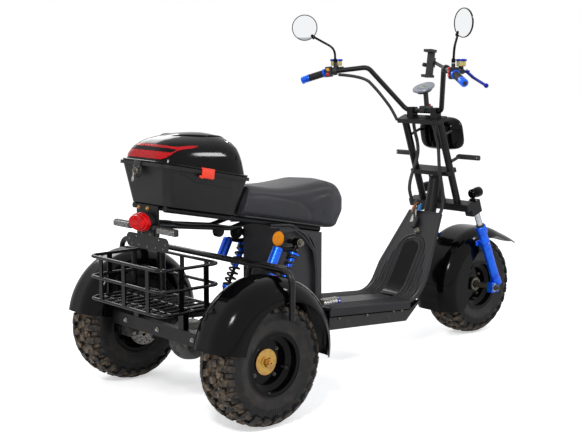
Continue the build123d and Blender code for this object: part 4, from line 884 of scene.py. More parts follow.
for vertex in seat.data.vertices:
    x, y, z = (vertex.co.x - rear_axle_x) * 1000, vertex.co.y * 1000, vertex.co.z * 1000
    lift = pull = 0
    nose = max(0.0, (x - nose_start) / nose_length)
    wide = abs(y) / seat_half
    vertex.co.x -= (nose * wide) ** 1.5 * 34 / 1000
    if z < 660:
        vertex.co.x -= nose ** 2 * 58 * (660 - z) / 60 / 1000
    if z > 690:
        lift -= (nose * (0.6 + 0.4 * wide)) ** 1.6 * 92 * min(1, (z - 690) / 80)
    if z > 740:
        lift += 5 * (1 - wide ** 2) * min(1, (z - 740) / 40) - 2
    if abs(y) > 100:
        near = seam_distance(x, z)
        pull = 2.6 * math.exp(-(near / 5.5) ** 2) + 1.2 * max(0, 1 - near / 40)
    vertex.co.z += lift / 1000
    vertex.co.y -= math.copysign(pull, y) / 1000
bpy.context.view_layer.update()
seat.data.materials.clear()
seat.data.materials.append(pu_leather)
seat.data.shade_smooth()
seat.modifiers.new("finer", "SUBSURF").render_levels = 1
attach(seat, "chassis")
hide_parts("seat")
print("saddle", [round(c * 1000) for c in seat.dimensions], "mm")


# %% Stitches and lower edge
stitch_step = 6.5
threads, base = Form(), Form()
for side in (1, -1):
    walked = 0.0
    for a, b in zip(seam_line, seam_line[1:]):
        length, way = (b - a).length, (b - a).normalized()
        while walked < length:
            point = a + (b - a) * (walked / length)
            walked += stitch_step
            if point.x <= 190 or point.z <= 622:
                continue
            start = Vector((point.x, side * (seat_half + 30), point.z + 5))
            hit, spot, *rest = seat.ray_cast(to_metres @ start, Vector((0, -side, 0)))
            if hit:
                on = to_drawing @ spot
                threads.join(rod(on - way * 2, on + way * 2, 0.7, 6, 0.2))
        walked -= length
    base.join(tube([(156, side * 138, 691), (300, side * 139, 664), (440, side * 139, 637),
                    (560, side * 138, 613)], 3.2, 8))
piece("saddle_stitches", threads, seam_thread, "chassis")
piece("saddle_edge_trim", base, matt_nylon, "chassis")

# %% [markdown]
# ## Top case
# The tub is grained plastic, and the lid is the same plastic from a polished mould. A band of red
# reflector wraps round the rear of the lid and ends in a point on each side. All of it is laid on
# one function that gives a point of the lid from an angle round it and a height up it, so that the
# band and the ridges follow the same surface.

# %% The case's own frame
case_hinge = next(j for j in frame["joints"] if j["name"] == "case_lid_hinge")
case_slope = math.radians(10.9)
hinge_point = to_drawing @ Vector(case_hinge["pos_m"])
case_turn = Matrix.Rotation(case_slope, 4, "Y")
hinge_x, hinge_z = 207, 4
case_origin = hinge_point - case_turn @ Vector((hinge_x, 0, hinge_z))
case_place = Matrix.Translation(case_origin) @ case_turn
# height, half length, half width, corner exponent
lid_sections = [(0.4, 192, 145, 6.5), (14, 191.5, 144.6, 5.8), (30, 189.5, 142.6, 5.2),
                (50, 185, 137.6, 4.7), (70, 178, 129.6, 4.3), (88, 168, 118.6, 4.0),
                (103, 153, 103, 3.6), (115, 132, 84, 3.2), (124, 106, 64, 2.9),
                (130.5, 77, 44, 2.6), (134.6, 46, 25, 2.4), (136, 18, 10, 2.2)]


def oval(half_x, half_y, power, angle):
    """Point of a rounded rectangle at an angle, as a superellipse."""
    c, s = math.cos(angle), math.sin(angle)
    reach = (abs(c / half_x) ** power + abs(s / half_y) ** power) ** (-1 / power)
    return reach * c, reach * s


def oval_ring(half_x, half_y, power, sides, z):
    """A level ring of such points."""
    return [Vector((*oval(half_x, half_y, power, 2 * math.pi * i / sides), z))
            for i in range(sides)]


def lid_point(angle, height, out=0.0):
    """Point of the lid's outer face at an angle from forward and a height above the rim. The top
    is tilted up towards the front."""
    rows = lid_sections
    height = max(rows[0][0], min(rows[-1][0], height))
    for low, high in zip(rows, rows[1:]):
        if height <= high[0]:
            share = (height - low[0]) / (high[0] - low[0])
            half_x, half_y, power = [a + (b - a) * share for a, b in zip(low[1:], high[1:])]
            break
    x, y = oval(half_x + out, half_y + out, power, angle)
    tilt = max(0.0, height - 30) / 100 * 0.15 * x
    return Vector((x, y, height + tilt + (out if height > 124 else 0)))


lid_sides, lid_wall = 96, 3.5
rings = [[lid_point(2 * math.pi * i / lid_sides, h) for i in range(lid_sides)]
         for h in (0.4, 7, 14, 22, 30, 40, 50, 60, 70, 79, 88, 96, 103, 109, 115, 120, 124, 127.5,
                  130.5, 132.8, 134.6, 135.5, 136)]
inside = [[p - Vector((p.x, p.y, 0)).normalized() * lid_wall - Vector((0, 0, 3 if k else 0))
           for p in ring] for k, ring in enumerate(rings)]
lid = skin(rings[::-1] + inside)
lid.join(skin([oval_ring(half_x, half_y, 7, lid_sides, h) for half_x, half_y, h in (
    (193, 146, 0.6), (199, 152, 0.6), (200.5, 153.5, 2.4), (200, 153, 6), (198, 151, 7.6),
    (191.5, 144.5, 8.4))], caps=False))
for side in (1, -1):
    lid.join(turned([(-14.2, 3.2), (-14.2, 6), (14.2, 6), (14.2, 3.2)],
                    (hinge_x, side * 80, hinge_z), (0, 1, 0), 20),
             block((14, 28, 5), placed((199, side * 80, 8)), 1))
piece("case_lid_shell", lid.moved(case_place), polished_abs, "case_lid", ["case_lid"], sharp=30)


# %% Reflector band, inset and ridges
def band(edges, out, thick):
    """A patch of the lid between two height lines, raised a little. Edges is a list of
    (angle, low height, high height)."""
    rings, steps = [], 40
    for k in range(steps + 1):
        share = k / steps * (len(edges) - 1)
        i = min(int(share), len(edges) - 2)
        angle, low, high = [a + (b - a) * (share - i) for a, b in zip(edges[i], edges[i + 1])]
        column = [low + (high - low) * j / 8 for j in range(9)]
        rings.append([lid_point(angle, h, out + thick) for h in column]
                     + [lid_point(angle, h, out - 1.5) for h in column[::-1]])
    return skin(rings)


def wrapped(edges, middle_high, out, thick):
    """Such a band round the rear of the lid, from its edges on the left side. Each edge is
    (across, forward, low height, high height)."""
    half = [(math.atan2(y, x) if y else rear_edge, low, high) for y, x, low, high in edges]
    angle, low, high = half[0]
    form = Form()
    for side in (1, -1):
        form.join(band([(side * a, lo, hi) for a, lo, hi in half], out, thick))
    return form.join(band([(angle, low, high), (math.pi, low, middle_high),
                           (2 * math.pi - angle, low, high)], out, thick))


rear_edge = math.pi - 0.49
red = wrapped([(0, 0, 16, 80), (124, -186, 24, 78), (134, -180, 36, 78), (139, -172, 49, 78),
               (139, -150, 63, 80), (139, -122, 71, 84), (139, -90, 76, 87.5),
               (139, -58, 84, 89)], 82, 0.2, 1.6)
piece("lid_reflector", red.moved(case_place), red_prism, "case_lid")
dark = wrapped([(0, 0, 50, 69), (124, -186, 50, 68), (134, -180, 51, 67), (139, -166, 60, 66)],
               70, 0.9, 1.8)
piece("lid_inset", dark.moved(case_place), polished_abs, "case_lid")
ridges, ridge_steps = Form(), 24
for side in (1, -1):
    line = []
    for k in range(ridge_steps + 1):
        t = k / ridge_steps
        x = -112 + 246 * t
        y = side * (30 + 34 * math.sin(math.pi * t) ** 0.7)
        angle = math.atan2(y, x)
        best = min((0.5 * n for n in range(120, 272)),
                   key=lambda h: abs(lid_point(angle, h).xy.length - math.hypot(x, y)))
        line.append(lid_point(angle, best) + Vector((0, 0, -0.6)))
    sizes = [1.0 + 4.2 * math.sin(math.pi * k / ridge_steps) ** 0.5
             for k in range(ridge_steps + 1)]
    ridges.join(tube(line, sizes, 10))
piece("lid_ridges", ridges.moved(case_place), polished_abs, "case_lid")

# %% [markdown]
# **Tub.** Above a line that dips below the latch the tub's wall stands a little proud. The hasp
# at the rear has a round lock with its key, and an orange-red tab clips the lid on each side.


# %% Tub trim, hasp and tabs
tub_depth, tub_half_x, tub_half_y = 144, 192, 145


def tub_point(angle, height, out):
    """Point of the tub's outer face; height is below zero, measured down from the rim."""
    share = -height / tub_depth
    half_x, half_y = tub_half_x - 31 * share, tub_half_y - 27 * share
    x, y = oval(half_x + out, half_y + out, 7 - 1.5 * share, angle)
    return Vector((x + 18 * share, y, height))


def swoop(x):
    """How far the proud part of the tub's wall reaches below the rim. It dips below the latch."""
    dip_rear, dip_front = -104, -46
    if x < dip_rear:
        return -27 - (x + tub_half_x) * 0.02
    if x < dip_front:
        t = (x - dip_rear) / (dip_front - dip_rear)
        return -28.6 - 17 * (3 * t * t - 2 * t ** 3)
    return -45.6 - (x - dip_front) * 0.02


proud = Form()
for side in (1, -1):
    rings = []
    for k in range(61):
        angle = side * (0.06 + (math.pi - 0.5) * k / 60)
        low = swoop(tub_point(angle, -20, 0).x)
        heights = [-12.2, -16, (low - 14) / 2, low + 1, low]
        rise = [1.6, 1.8, 1.8, 1.7, 0.8]
        over = [tub_point(angle, h, r) for h, r in zip(heights, rise)]
        rings.append(over + [tub_point(angle, low, -1.0), tub_point(angle, -12.2, -1.0)])
    proud.join(skin(rings))
piece("tub_upper_wall", proud.moved(case_place), tub_abs, "chassis")
lock_y, backward = 16, (-1, 0, 0)
hasp = turned([(0, 27), (5, 27), (8, 25), (9, 20), (9, 0.01)], (-194, lock_y, -32), backward, 40)
hasp.join(block((9, 40, 30), placed((-201, lock_y, -12)), 3))
piece("case_hasp", hasp.moved(case_place), matt_nylon, "chassis", ["case_catches"])
lock = turned([(0, 15), (5, 15), (7, 13.5), (7, 10), (5.5, 9.5), (5.5, 0.01)],
              (-202.5, lock_y, -36), backward, 32)
lock.join(turned([(0, 4.5), (9, 4.5), (9.6, 4), (9.6, 0.01)], (-208, lock_y, -36), backward, 16))
for k in (-15, 15):
    lock.join(bolt((-204, lock_y + k, -18), backward, 7, 3, False))
piece("case_lock", lock.moved(case_place), dull_zinc, "chassis")
key = plate([(a, b - 20) for a, b in circle(10, 20)], [(0, -24, 3)], 2.2,
            placed((-212, lock_y, -44), (90, 0, 78)))
key.join(block((1.6, 5, 22), placed((-212, lock_y, -52)), 0.4, 1))
piece("case_key", key.moved(case_place), bright_zinc, "chassis")
tabs, pins = Form(), Form()
for side in (1, -1):
    tabs.join(block((56, 4.5, 33), placed((-14, side * 155.4, -9), (side * 5, 0, 0)), 2),
              block((60, 3, 6), placed((-16, side * 155, 7)), 1.4),
              block((16, 4, 8), placed((-44, side * 155.6, -24), (0, 20, 0)), 1.4),
              turned([(-25, 3.4), (25, 3.4)], (-14, side * 154.6, -24), (1, 0, 0), 12, caps=True))
    pins.join(rod((hinge_x, side * 57.5, hinge_z), (hinge_x, side * 102.5, hinge_z), 3))
piece("latch_tabs", tabs.moved(case_place), orange_abs, "chassis")
piece("lid_hinge_pins", pins.moved(case_place), bright_zinc, "chassis")
print("case origin", [round(c, 1) for c in case_origin])

# %% [markdown]
# ## Battery box and shocks
# The box has a deep arch in each side with a raised rib round it. A shock hangs in each arch. Its
# spring is a helix of round wire, with a blue collar at each end and a blue damper inside. The
# reservoir can is a turned form with a groove near each end.

# %% Arch rib and side reflectors
box_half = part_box("battery_box")[1].y * 1000
rib = Form()
for side in (1, -1):
    line = rounded([(300, 0, 641), (407, 0, 632), (486, 0, 584), (533, 0, 512), (545, 0, 440),
                    (546, 0, 296)], 70, 8)
    for radius, inset in ((4.5, 0), (3.0, 9)):
        path = [(p.x - inset * (1 if p.z < 600 else 0.5), side * box_half,
                 p.z - inset * (1 if p.z > 560 else 0)) for p in line]
        section = [(a * 0.6, b) for a, b in circle(radius, 12)]
        rib.join(skin(rings_along(path, lambda i: section)))
piece("box_arch_rib", rib, grained_abs, "chassis")
glow, cup = Form(), Form()
for side in (1, -1):
    middle = (330, side * (box_half + 4), 587)
    out = (0, side, 0)
    glow.join(turned([(0.6, 29), (5.5, 29), (7.6, 27.4), (8.2, 24), (8.6, 12), (8.7, 0.01)],
                     middle, out, 48))
    cup.join(turned([(-0.5, 30), (3.6, 30), (5.2, 30), (5.4, 29), (3.6, 28.8), (-0.5, 0.01)],
                    middle, out, 48),
             turned([(-15, 9), (0, 9)], middle, out, 20, caps=True),
             block((50, 4, 26), placed((347, side * (box_half - 16), 587)), 1.2))
piece("side_reflector_lens", glow, amber_prism, "chassis", ["side_reflectors"])
piece("side_reflector_cup", cup, matt_nylon, "chassis")


# %% Shocks
def helix(start, end, coil_radius, wire, turns):
    """A spring of round wire between two points, its last turn at each end lying flat."""
    start, end = Vector(start), Vector(end)
    way = (end - start).normalized()
    side = way.orthogonal().normalized()
    up = way.cross(side)
    length = (end - start).length - 2 * wire
    path, steps, flat = [], turns * 22, 0.75 / turns
    for k in range(steps + 1):
        t = k / steps
        run = min(max((t - flat) / (1 - 2 * flat), 0), 1)
        angle = 2 * math.pi * turns * t
        path.append(start + way * (wire + length * run) + side * coil_radius * math.cos(angle)
                    + up * coil_radius * math.sin(angle))
    return tube(path, wire, 8)


pin_x, pin_z, foot_x, foot_z, shock_y = 409, 567, 270, 300, 150
springs, blue, black, silver = Form(), Form(), Form(), Form()
for side in (1, -1):
    top, foot = Vector((pin_x, side * shock_y, pin_z)), Vector((foot_x, side * shock_y, foot_z))
    way = (foot - top).normalized()
    springs.join(helix(top + way * 52, top + way * 228, 19.4, 4.6, 9))
    blue.join(
        turned([(44, 8), (44, 22.5), (45.5, 24), (51, 24), (52.5, 22.5), (52.5, 8)], top, way, 36),
        turned([(52, 11.5), (150, 11.5)], top, way, 28, caps=True),
        turned([(226, 9), (226, 20.5), (227.5, 22), (234, 22), (236, 20), (248, 14), (262, 12),
                (262, 7)], top, way, 32))
    can = top + way * 6 + Vector((-96, 0, -2))
    blue.join(turned([(2, 10), (2, 18.5), (4, 20), (14, 20), (15, 19), (16, 20), (80, 20),
                      (81, 19), (82, 20), (90, 20), (92, 18), (92, 0.01)], can, way, 40))
    black.join(
        turned([(-2, 0.01), (-2, 8), (0, 17), (2, 18), (2, 10)], can, way, 36),
        turned([(-14, 9.5), (-14, 16), (-13, 17), (13, 17), (14, 16), (14, 9.5)], top,
               (0, 1, 0), 32),
        turned([(14, 12), (44, 12), (46, 20), (46, 8)], top, way, 28),
        tube([top + way * 26, top + way * 20 + Vector((-48, 0, -4)), can + way * 2], 8.5, 16),
        turned([(150, 6.5), (288, 6.5)], top, way, 20, caps=True),
        block((22, 24, 34), aimed(top + way * 282, way), 3))
    end = side * (shock_y + 26)
    silver.join(
        turned([(0, 9), (1, 9.6), (2, 9.6)], (pin_x, end, pin_z), (0, side, 0), 24, caps=True),
        bolt((pin_x, side * (shock_y + 14.4), pin_z), (0, side, 0), 22, 9),
        bolt(top + way * 30 + Vector((0, side * 11, 0)), (0, side, 0), 8, 3, False))
piece("shock_springs", springs, black_spring, "chassis", sharp=60)
piece("shock_blue", blue, blue_anodised, "chassis", ["rear_shocks"])
piece("shock_castings", black, polished_abs, "chassis")
piece("shock_bolts", silver, dull_zinc, "chassis")

# %% [markdown]
# ## Foot pegs
# Each peg is a folding plate with two rows of studs on top and one along its outer edge. The metal
# is dull, the studs are bright and the small ones between them are blue, so the pattern is real
# geometry: small six-sided studs on a plate.

# %% Pegs
peg_plate, studs, blue_studs = Form(), Form(), Form()
stud_pitch = 15
for side in (1, -1):
    middle_y, edge_y = side * 144, side * 161.4
    peg_plate.join(block((91, 35.6, 21.6), placed((586, middle_y, 311)), 4, 3),
                   block((60, 12, 18), placed((570, side * 124, 311)), 2))
    for column in range(6):
        x = 549 + column * stud_pitch
        for y in (middle_y - 8.5, middle_y + 8.5):
            studs.join(turned([(0, 6.4), (1.6, 5.2), (1.6, 3), (0.4, 2)], (x, y, 320.8),
                              (0, 0, 1), 6))
        studs.join(turned([(0, 7), (1.6, 5.8), (1.6, 3.4), (0.4, 2.4)], (x, edge_y, 312),
                          (0, side, 0), 6))
        blue_studs.join(turned([(0, 2.4), (1, 1.8), (1, 0.01)],
                               (x + stud_pitch / 2, edge_y, 303), (0, side, 0), 6))
    blue_studs.join(turned([(0, 9.6), (1.8, 9.6), (2.2, 8.4), (2.2, 6)], (624, side * 161.2, 311),
                           (0, side, 0), 24))
piece("peg_plates", peg_plate, dull_zinc, "chassis", ["foot_pegs"])
piece("peg_studs", studs, bright_zinc, "chassis")
piece("peg_blue_studs", blue_studs, deep_blue, "chassis")

# %% [markdown]
# ## Footboard
# The board is one moulding from the deck to the leg shield. Its ridges run forward along the deck,
# up the bend and round over the top of a smooth panel. Each one is a rounded rib half sunk in the
# board, with a thin dark matt bead beside it as painted shade for the groove. A function gives any
# point of the board from a distance along it.


# %% The board's surface
deck_rear = Vector((586, 0, 282))
shield_top = Vector((1316, 0, 592))
corner_x, corner_z = 1103, 241


def exact_bend(points, radius):
    """A path whose corners are true arcs."""
    points, steps = [Vector(p) for p in points], 16
    path = [points[0]]
    for before, here, after in zip(points, points[1:], points[2:]):
        way_in, way_out = (here - before).normalized(), (after - here).normalized()
        half = way_in.angle(way_out) / 2
        reach, weight = radius * math.tan(half), math.cos(half)
        start, end = here - way_in * reach, here + way_out * reach
        for k in range(steps + 1):
            t = k / steps
            share = (1 - t) ** 2 + 2 * weight * t * (1 - t) + t ** 2
            path.append((start * (1 - t) ** 2 + here * (2 * weight * t * (1 - t)) + end * t ** 2)
                        / share)
    return path + [points[-1]]


board_line = exact_bend([deck_rear, (corner_x, 0, corner_z), shield_top], 110)
board_steps = [(b - a).length for a, b in zip(board_line, board_line[1:])]
board_length = sum(board_steps)


def on_board(along, y, up=0.0):
    """Point on the board's face, at a distance along it from its rear edge."""
    left = max(0.0, min(board_length - 0.01, along))
    for a, b, step in zip(board_line, board_line[1:], board_steps):
        if left <= step:
            break
        left -= step
    way = (b - a).normalized()
    out = Vector((-way.z, 0, way.x))
    return a + way * left + Vector((0, y, 0)) + out * up


def loop_line(half, top, start, lift):
    """Up one side, round over the top, and down the other side."""
    up = [start + (top - half - start) * k / 40 for k in range(41)]
    down = [start + (top - half - start) * (40 - k) / 40 for k in range(41)]
    over = [math.pi * k / 20 for k in range(1, 20)]
    return ([on_board(along, half, lift) for along in up]
            + [on_board(top - half + half * math.sin(a), half * math.cos(a), lift) for a in over]
            + [on_board(along, -half, lift) for along in down])


panel_top, rib_start = board_length - 145, 14
# The matt beads beside the ribs are painted shade for the grooves.
beads = tube(loop_line(48, panel_top + 6, 470, 0.2), 2.6, 8)
beads.join(tube(loop_line(66, panel_top + 24, rib_start, 0.2), 2.4, 8))
ribs = tube(loop_line(56, panel_top + 14, 450, -0.4), 4.2, 8)
ribs.join(tube(loop_line(75, panel_top + 30, rib_start, -0.4), 4.2, 8))
for half, stop in ((88, panel_top - 50), (104, panel_top - 110), (120, panel_top - 190)):
    for side in (1, -1):
        spots = [(rib_start + (stop - rib_start) * k / 40,
                  side * (half - 26 * max(0, (k / 40 - 0.72)) ** 1.2)) for k in range(41)]
        beads.join(tube([on_board(along, y, 0.2) for along, y in spots],
                        [0.8] + [2.4] * 39 + [0.8], 8))
        ribs.join(tube([on_board(along, y + side * 8, -0.6) for along, y in spots],
                       [1] + [4] * 39 + [1], 8))
# These beads are painted groove shade, not real grooves.
piece("board_groove_shade", beads, matt_nylon, "chassis")
piece("board_ribs", ribs, board_abs, "chassis")


def board_patch(half, low, top, lift, thick):
    """A plate with a round top that follows the board."""
    rows = []
    for k in range(61):
        along = low + (top - low) * k / 60
        left = top - along
        wide = half if left > half else math.sqrt(max(0.4, half * half - (half - left) ** 2))
        across = [-wide + 2 * wide * i / 12 for i in range(13)]
        rows.append([on_board(along, y, lift + thick) for y in across]
                    + [on_board(along, y, lift) for y in across[::-1]])
    return skin(rows)


piece("board_panel", board_patch(44, 478, panel_top, -2, 3.4), polished_abs, "chassis", sharp=50)

# %% [markdown]
# The rolled edges of the board are beads along both sides, from the deck to the shield's top. The
# tray under the deck is fastened with small dull bolts, and the beam behind the axle with bright
# ones.


# %% Rolled edges and bolts
def board_half(x):
    """Half width of the board at a forward distance. It narrows towards the shield's top."""
    taper_start, taper_end = 1165, 1336
    if x <= taper_start:
        return 150
    return 150 - (x - taper_start) / (taper_end - taper_start) * 62


edges = Form()
for side in (1, -1):
    middle_line = [on_board(4 + (board_length - 8) * k / 60, 0, -5) for k in range(61)]
    edges.join(tube([p + Vector((0, side * (board_half(p.x) - 5.5), 0)) for p in middle_line],
                    7.5, 12))
edges.join(tube([on_board(board_length - 3, y, -5) for y in (-82, -41, 0, 41, 82)], 6, 12),
           tube([on_board(4, y, -6) for y in (-142, 0, 142)], 6.5, 12))
piece("board_rolled_edges", edges, board_abs, "chassis")

pan_bolts, beam_bolts = Form(), Form()
for side in (1, -1):
    for x, z in ((640, 232), (800, 222), (960, 214), (1010, 210)):
        pan_bolts.join(turned([(0, 6), (2.6, 5.4), (3.4, 3), (3.4, 0.01)],
                              (x, side * 145.4, z), (0, side, 0), 16))
for y in (-210, 0, 205):
    beam_bolts.join(bolt((-144.6, y, 287), backward, 12, 6))
piece("pan_bolts", pan_bolts, dull_zinc, "chassis")
piece("beam_bolts", beam_bolts, bright_zinc, "chassis")
print("board length", round(board_length), "panel top", round(panel_top))

# %% [markdown]
# ## Lamps and plate bracket at the rear
# The tail lamp is an oval lens in two steps, with fine ribs that catch the light. The indicators
# are smoked bars in black housings. The lens ribs are real geometry, as a flat red surface would
# look painted.

# %% Tail lamp
lamp_z = 690


def oval_step(x, half_z, half_y, ribs=0.0):
    """A ring of the lamp, standing at a distance behind the axle."""
    ring = []
    for i, (across, up) in enumerate(circle(1, 64)):
        r = 1 - ribs * (i % 2)
        ring.append(Vector((x, half_y * r * across, lamp_z + half_z * r * up)))
    return ring


lens = skin([oval_step(*step) for step in (
    (-203, 34, 55, 0), (-206, 34, 55, 0), (-207, 33.4, 54.4, 0.012), (-216, 33, 54, 0.012),
    (-219.5, 31.6, 52, 0.012), (-221, 28.4, 48, 0), (-221, 27.6, 46.6, 0), (-229, 26.6, 45.4, 0),
    (-232.4, 24, 42.6, 0), (-233, 22.6, 41, 0), (-231.8, 21.6, 40, 0), (-231.6, 19, 37, 0),
    (-232.8, 18, 36, 0), (-232.8, 15, 33, 0), (-231.6, 14, 32, 0), (-231.6, 11, 28, 0),
    (-232.8, 10, 27, 0), (-233, 0.2, 0.4, 0))])
for k in range(-5, 6):
    tall = 24 * math.sqrt(1 - (k / 6.2) ** 2)
    lens.join(block((1.6, 1.6, 2 * tall), placed((-232.4, k * 7, lamp_z)), 0.6, 1))
piece("tail_lamp_lens", lens, red_lens, "chassis", ["tail_lamp"])
base = skin([oval_step(*step) for step in (
    (-204.5, 35.4, 56.4), (-200, 35.4, 56.4), (-198, 34, 55), (-198, 30.6, 50.6),
    (-182, 30.2, 50.2))])
piece("tail_lamp_base", base, matt_nylon, "chassis")

housing, window = Form(), Form()
for side in (1, -1):
    housing.join(block((18, 106, 25.6), placed((-189.5, side * 137, 668)), 4, 3),
                 rod((-193, side * 48, 674), (-193, side * 92, 674), 6),
                 turned([(0, 9), (10, 9), (12, 7.5), (12, 6)], (-193, side * 56, 674),
                        (0, side, 0), 20, caps=True))
    window.join(block((9, 98, 20), placed((-200.6, side * 137, 668)), 3, 2))
    for k in range(12):
        window.join(block((1.4, 1.4, 18), placed((-205, side * (94 + 7.8 * k), 668)), 0.5, 1))
piece("rear_indicator_housings", housing, matt_nylon, "chassis", ["rear_indicators"])
piece("rear_indicator_windows", window, smoked_lens, "chassis")

# %% Bolts on the rack's plate, and grommets and bolts on the bracket
rack_plate_x = (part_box("tail_lamp")[1].x - rear_axle_x) * 1000 + 22
rack_bolts, grommets, bracket_bolts = Form(), Form(), Form()
for y in (50, -4):
    rack_bolts.join(bolt((rack_plate_x - 0.2, y, 736), backward, 11, 5))
for y, z in ((-112, 616), (-96, 600), (-50, 600), (0, 598), (50, 600), (96, 600), (112, 616)):
    grommets.join(turned([(0, 4.6), (0.5, 4.2), (0.5, 2.6), (0.1, 2.2)],
                         (rack_plate_x - 3, y, z), backward, 18))
for y in (-24, 24):
    bracket_bolts.join(bolt((rack_plate_x - 3.2, y, 646), backward, 9, 4))
piece("rack_plate_bolts", rack_bolts, yellow_zinc, "chassis")
piece("bracket_grommets", grommets, dull_zinc, "chassis")
piece("bracket_bolts", bracket_bolts, dull_zinc, "chassis")

# %% [markdown]
# ## Front end
# The fork leans back by its rake. Points on it are found by a distance up the steering axis from
# the lower crown, and points on its lower legs by a distance down the leg.


# %% Places on the fork
crown = Vector((1422, 0, 619))
rake, leg_rake = math.radians(20), math.radians(25)
stanchion_y = 150


def on_steering(height, y=0, ahead=0):
    """Point at a distance up the steering axis from the lower crown."""
    return Vector((crown.x - height * math.sin(rake) + ahead * math.cos(rake), y,
                   crown.z + height * math.cos(rake) + ahead * math.sin(rake)))


def on_leg(down, side):
    """Point at a distance down a lower leg."""
    top = on_steering(-8, 0, 48)
    return Vector((top.x + down * math.sin(leg_rake), side * stanchion_y,
                   top.z - down * math.cos(leg_rake)))


print("lower crown at", [round(c) for c in crown], "mm, rake", round(math.degrees(rake)), "degrees")

# %% Sliders, fender clamps, seals and nuts
front_axle_x, front_axle_z = 1620, 228.5
collars, brackets, seals, nuts = Form(), Form(), Form(), Form()
for side in (1, -1):
    way = (on_leg(400, side) - on_leg(100, side)).normalized()
    front = Vector((-way.z, 0, way.x))
    collars.join(
        turned([(116, 14.6), (116, 23), (118, 24.6), (136, 24.6), (138, 23.2), (140, 21.2)],
               on_leg(0, side), way, 32),
        turned([(186, 21), (188, 23.4), (204, 23.4), (206, 21)], on_leg(0, side), way, 32),
        turned([(392, 21), (396, 23), (420, 23.4), (426, 22), (428, 18), (428, 0.01)],
               on_leg(0, side), way, 32),
        block((16, 22, 30), placed(on_leg(150, side) + front * 22, (0, -25, 0)), 4, 3),
        block((12, 20, 60), placed(on_leg(240, side) + front * 18, (0, -25, 0)), 4, 3),
        block((10, 16, 100), placed(on_leg(330, side) + front * 18.5, (0, -25, 0)), 3, 2))
    brackets.join(block((34, 8, 20), placed(on_leg(205, side) + Vector((-24, -side * 20, 0)),
                                            (0, -10, 0)), 2.5, 2))
    seals.join(turned([(110, 14.2), (110, 19), (112, 20), (117, 20), (117, 14.2)],
                      on_leg(0, side), way, 32))
    nuts.join(bolt((front_axle_x, side * 163.4, front_axle_z), (0, side, 0), 26, 14),
              rod((front_axle_x, side * 176, front_axle_z),
                  (front_axle_x, side * 186, front_axle_z), 6),
              bolt(on_leg(205, side) + Vector((-2, side * 21.6, 0)), (0, side, 0), 9, 4, False))
piece("slider_castings", collars, blue_anodised, "fork")
piece("fender_clamps", brackets, blue_anodised, "fork")
up_axis = on_steering(1) - on_steering(0)
lock_nut = bolt(on_steering(151), up_axis, 56, 12, False)
lock_nut.join(turned([(163, 24), (166, 27), (172, 27), (174, 24)], on_steering(0), up_axis, 32))
piece("head_lock_nut", lock_nut, bright_zinc, "fork")
piece("fork_seals", seals, matt_nylon, "fork")
piece("front_axle_nuts", nuts, bright_zinc, "fork")

# %% [markdown]
# **Headlight and spot lamps.** The headlight is a bucket with cooling ribs across its back and a
# clear lens in front. A spot lamp is a short finned barrel with a lens.

# %% Headlight
upper_crown_z, lamp_angle = 1012, math.radians(78)
lamp_up = (upper_crown_z - crown.z) / math.cos(rake) - 112
lamp_place = (Matrix.Translation(on_steering(lamp_up, 0, 62))
              @ Matrix.Rotation(lamp_angle, 4, "Y"))


def lamp_ring(height, wide, depth):
    """A ring of the headlight, at a distance in front of its back."""
    return oval_ring(height / 2, wide / 2, 4, 48, depth)


bucket = skin([lamp_ring(h, w, d) for h, w, d in (
    (84, 120, 0), (108, 164, 0.4), (120, 182, 5), (132, 202, 15), (140, 215, 26), (145, 224, 38),
    (147, 228.6, 42), (148, 230, 44), (148, 230, 56), (146, 228, 58), (137, 219, 58.4),
    (133, 215, 56), (129, 211, 50), (90, 170, 30))])
for k in range(9):
    for half in (1, -1):
        bucket.join(block((5, 34 - 2 * abs(k - 4), 14),
                          placed((-44 + 11 * k, half * 66, 7), (half * 14, 0, 0))))
bucket.join(block((62, 60, 8), placed((0, 0, -3)), 3))
piece("headlight_bucket", bucket.moved(lamp_place), gloss_enamel, "fork", ["headlight"])
glass = skin([lamp_ring(133, 215, 57.6), lamp_ring(129, 211, 59.4), lamp_ring(105, 180, 61),
              lamp_ring(2, 4, 62)])
piece("headlight_glass", glass.moved(lamp_place), clear_lens, "fork")
bulbs = Form()
for y in (-56, 56):
    bulbs.join(turned([(36, 4), (36, 14), (40, 30), (54, 40), (54, 37), (40, 24), (38, 4)],
                      (0, y, 0), (0, 0, 1), 36))
piece("headlight_reflectors", bulbs.moved(lamp_place), hard_chrome, "fork")

# %% Spot lamps
spots, spot_glass, spot_steel = Form(), Form(), Form()
barrel = [(-28, 0.01), (-28, 12), (-26, 14)]
for k in range(5):
    barrel += [(-25 + 6 * k, 15 + k), (-25 + 6 * k, 20.5), (-22.6 + 6 * k, 20.5),
               (-22.4 + 6 * k, 15 + k)]
barrel += [(6, 20), (8, 22.4), (26, 23), (28, 22.4), (28, 20), (24, 19)]
way = Vector((56, 0, 8)).normalized()
for side in (1, -1):
    middle = Vector((1478, side * 150, 676))
    spots.join(turned(barrel, middle, way, 40),
               rod(middle + Vector((-14, 0, -50)), middle + Vector((-14, 0, -14)), 8),
               block((22, 30, 10), placed(middle + Vector((-12, 0, -30))), 3))
    spot_glass.join(turned([(24, 19.4), (27, 18), (28.6, 10), (29, 0.01)], middle, way, 36))
    spot_steel.join(bolt(middle + Vector((-12, side * 15, -30)), (0, side, 0), 8, 4, False))
piece("spot_lamp_barrels", spots, polished_abs, "fork", ["spot_lamps"])
piece("spot_lamp_glass", spot_glass, clear_lens, "fork")
piece("spot_lamp_screws", spot_steel, bright_zinc, "fork")

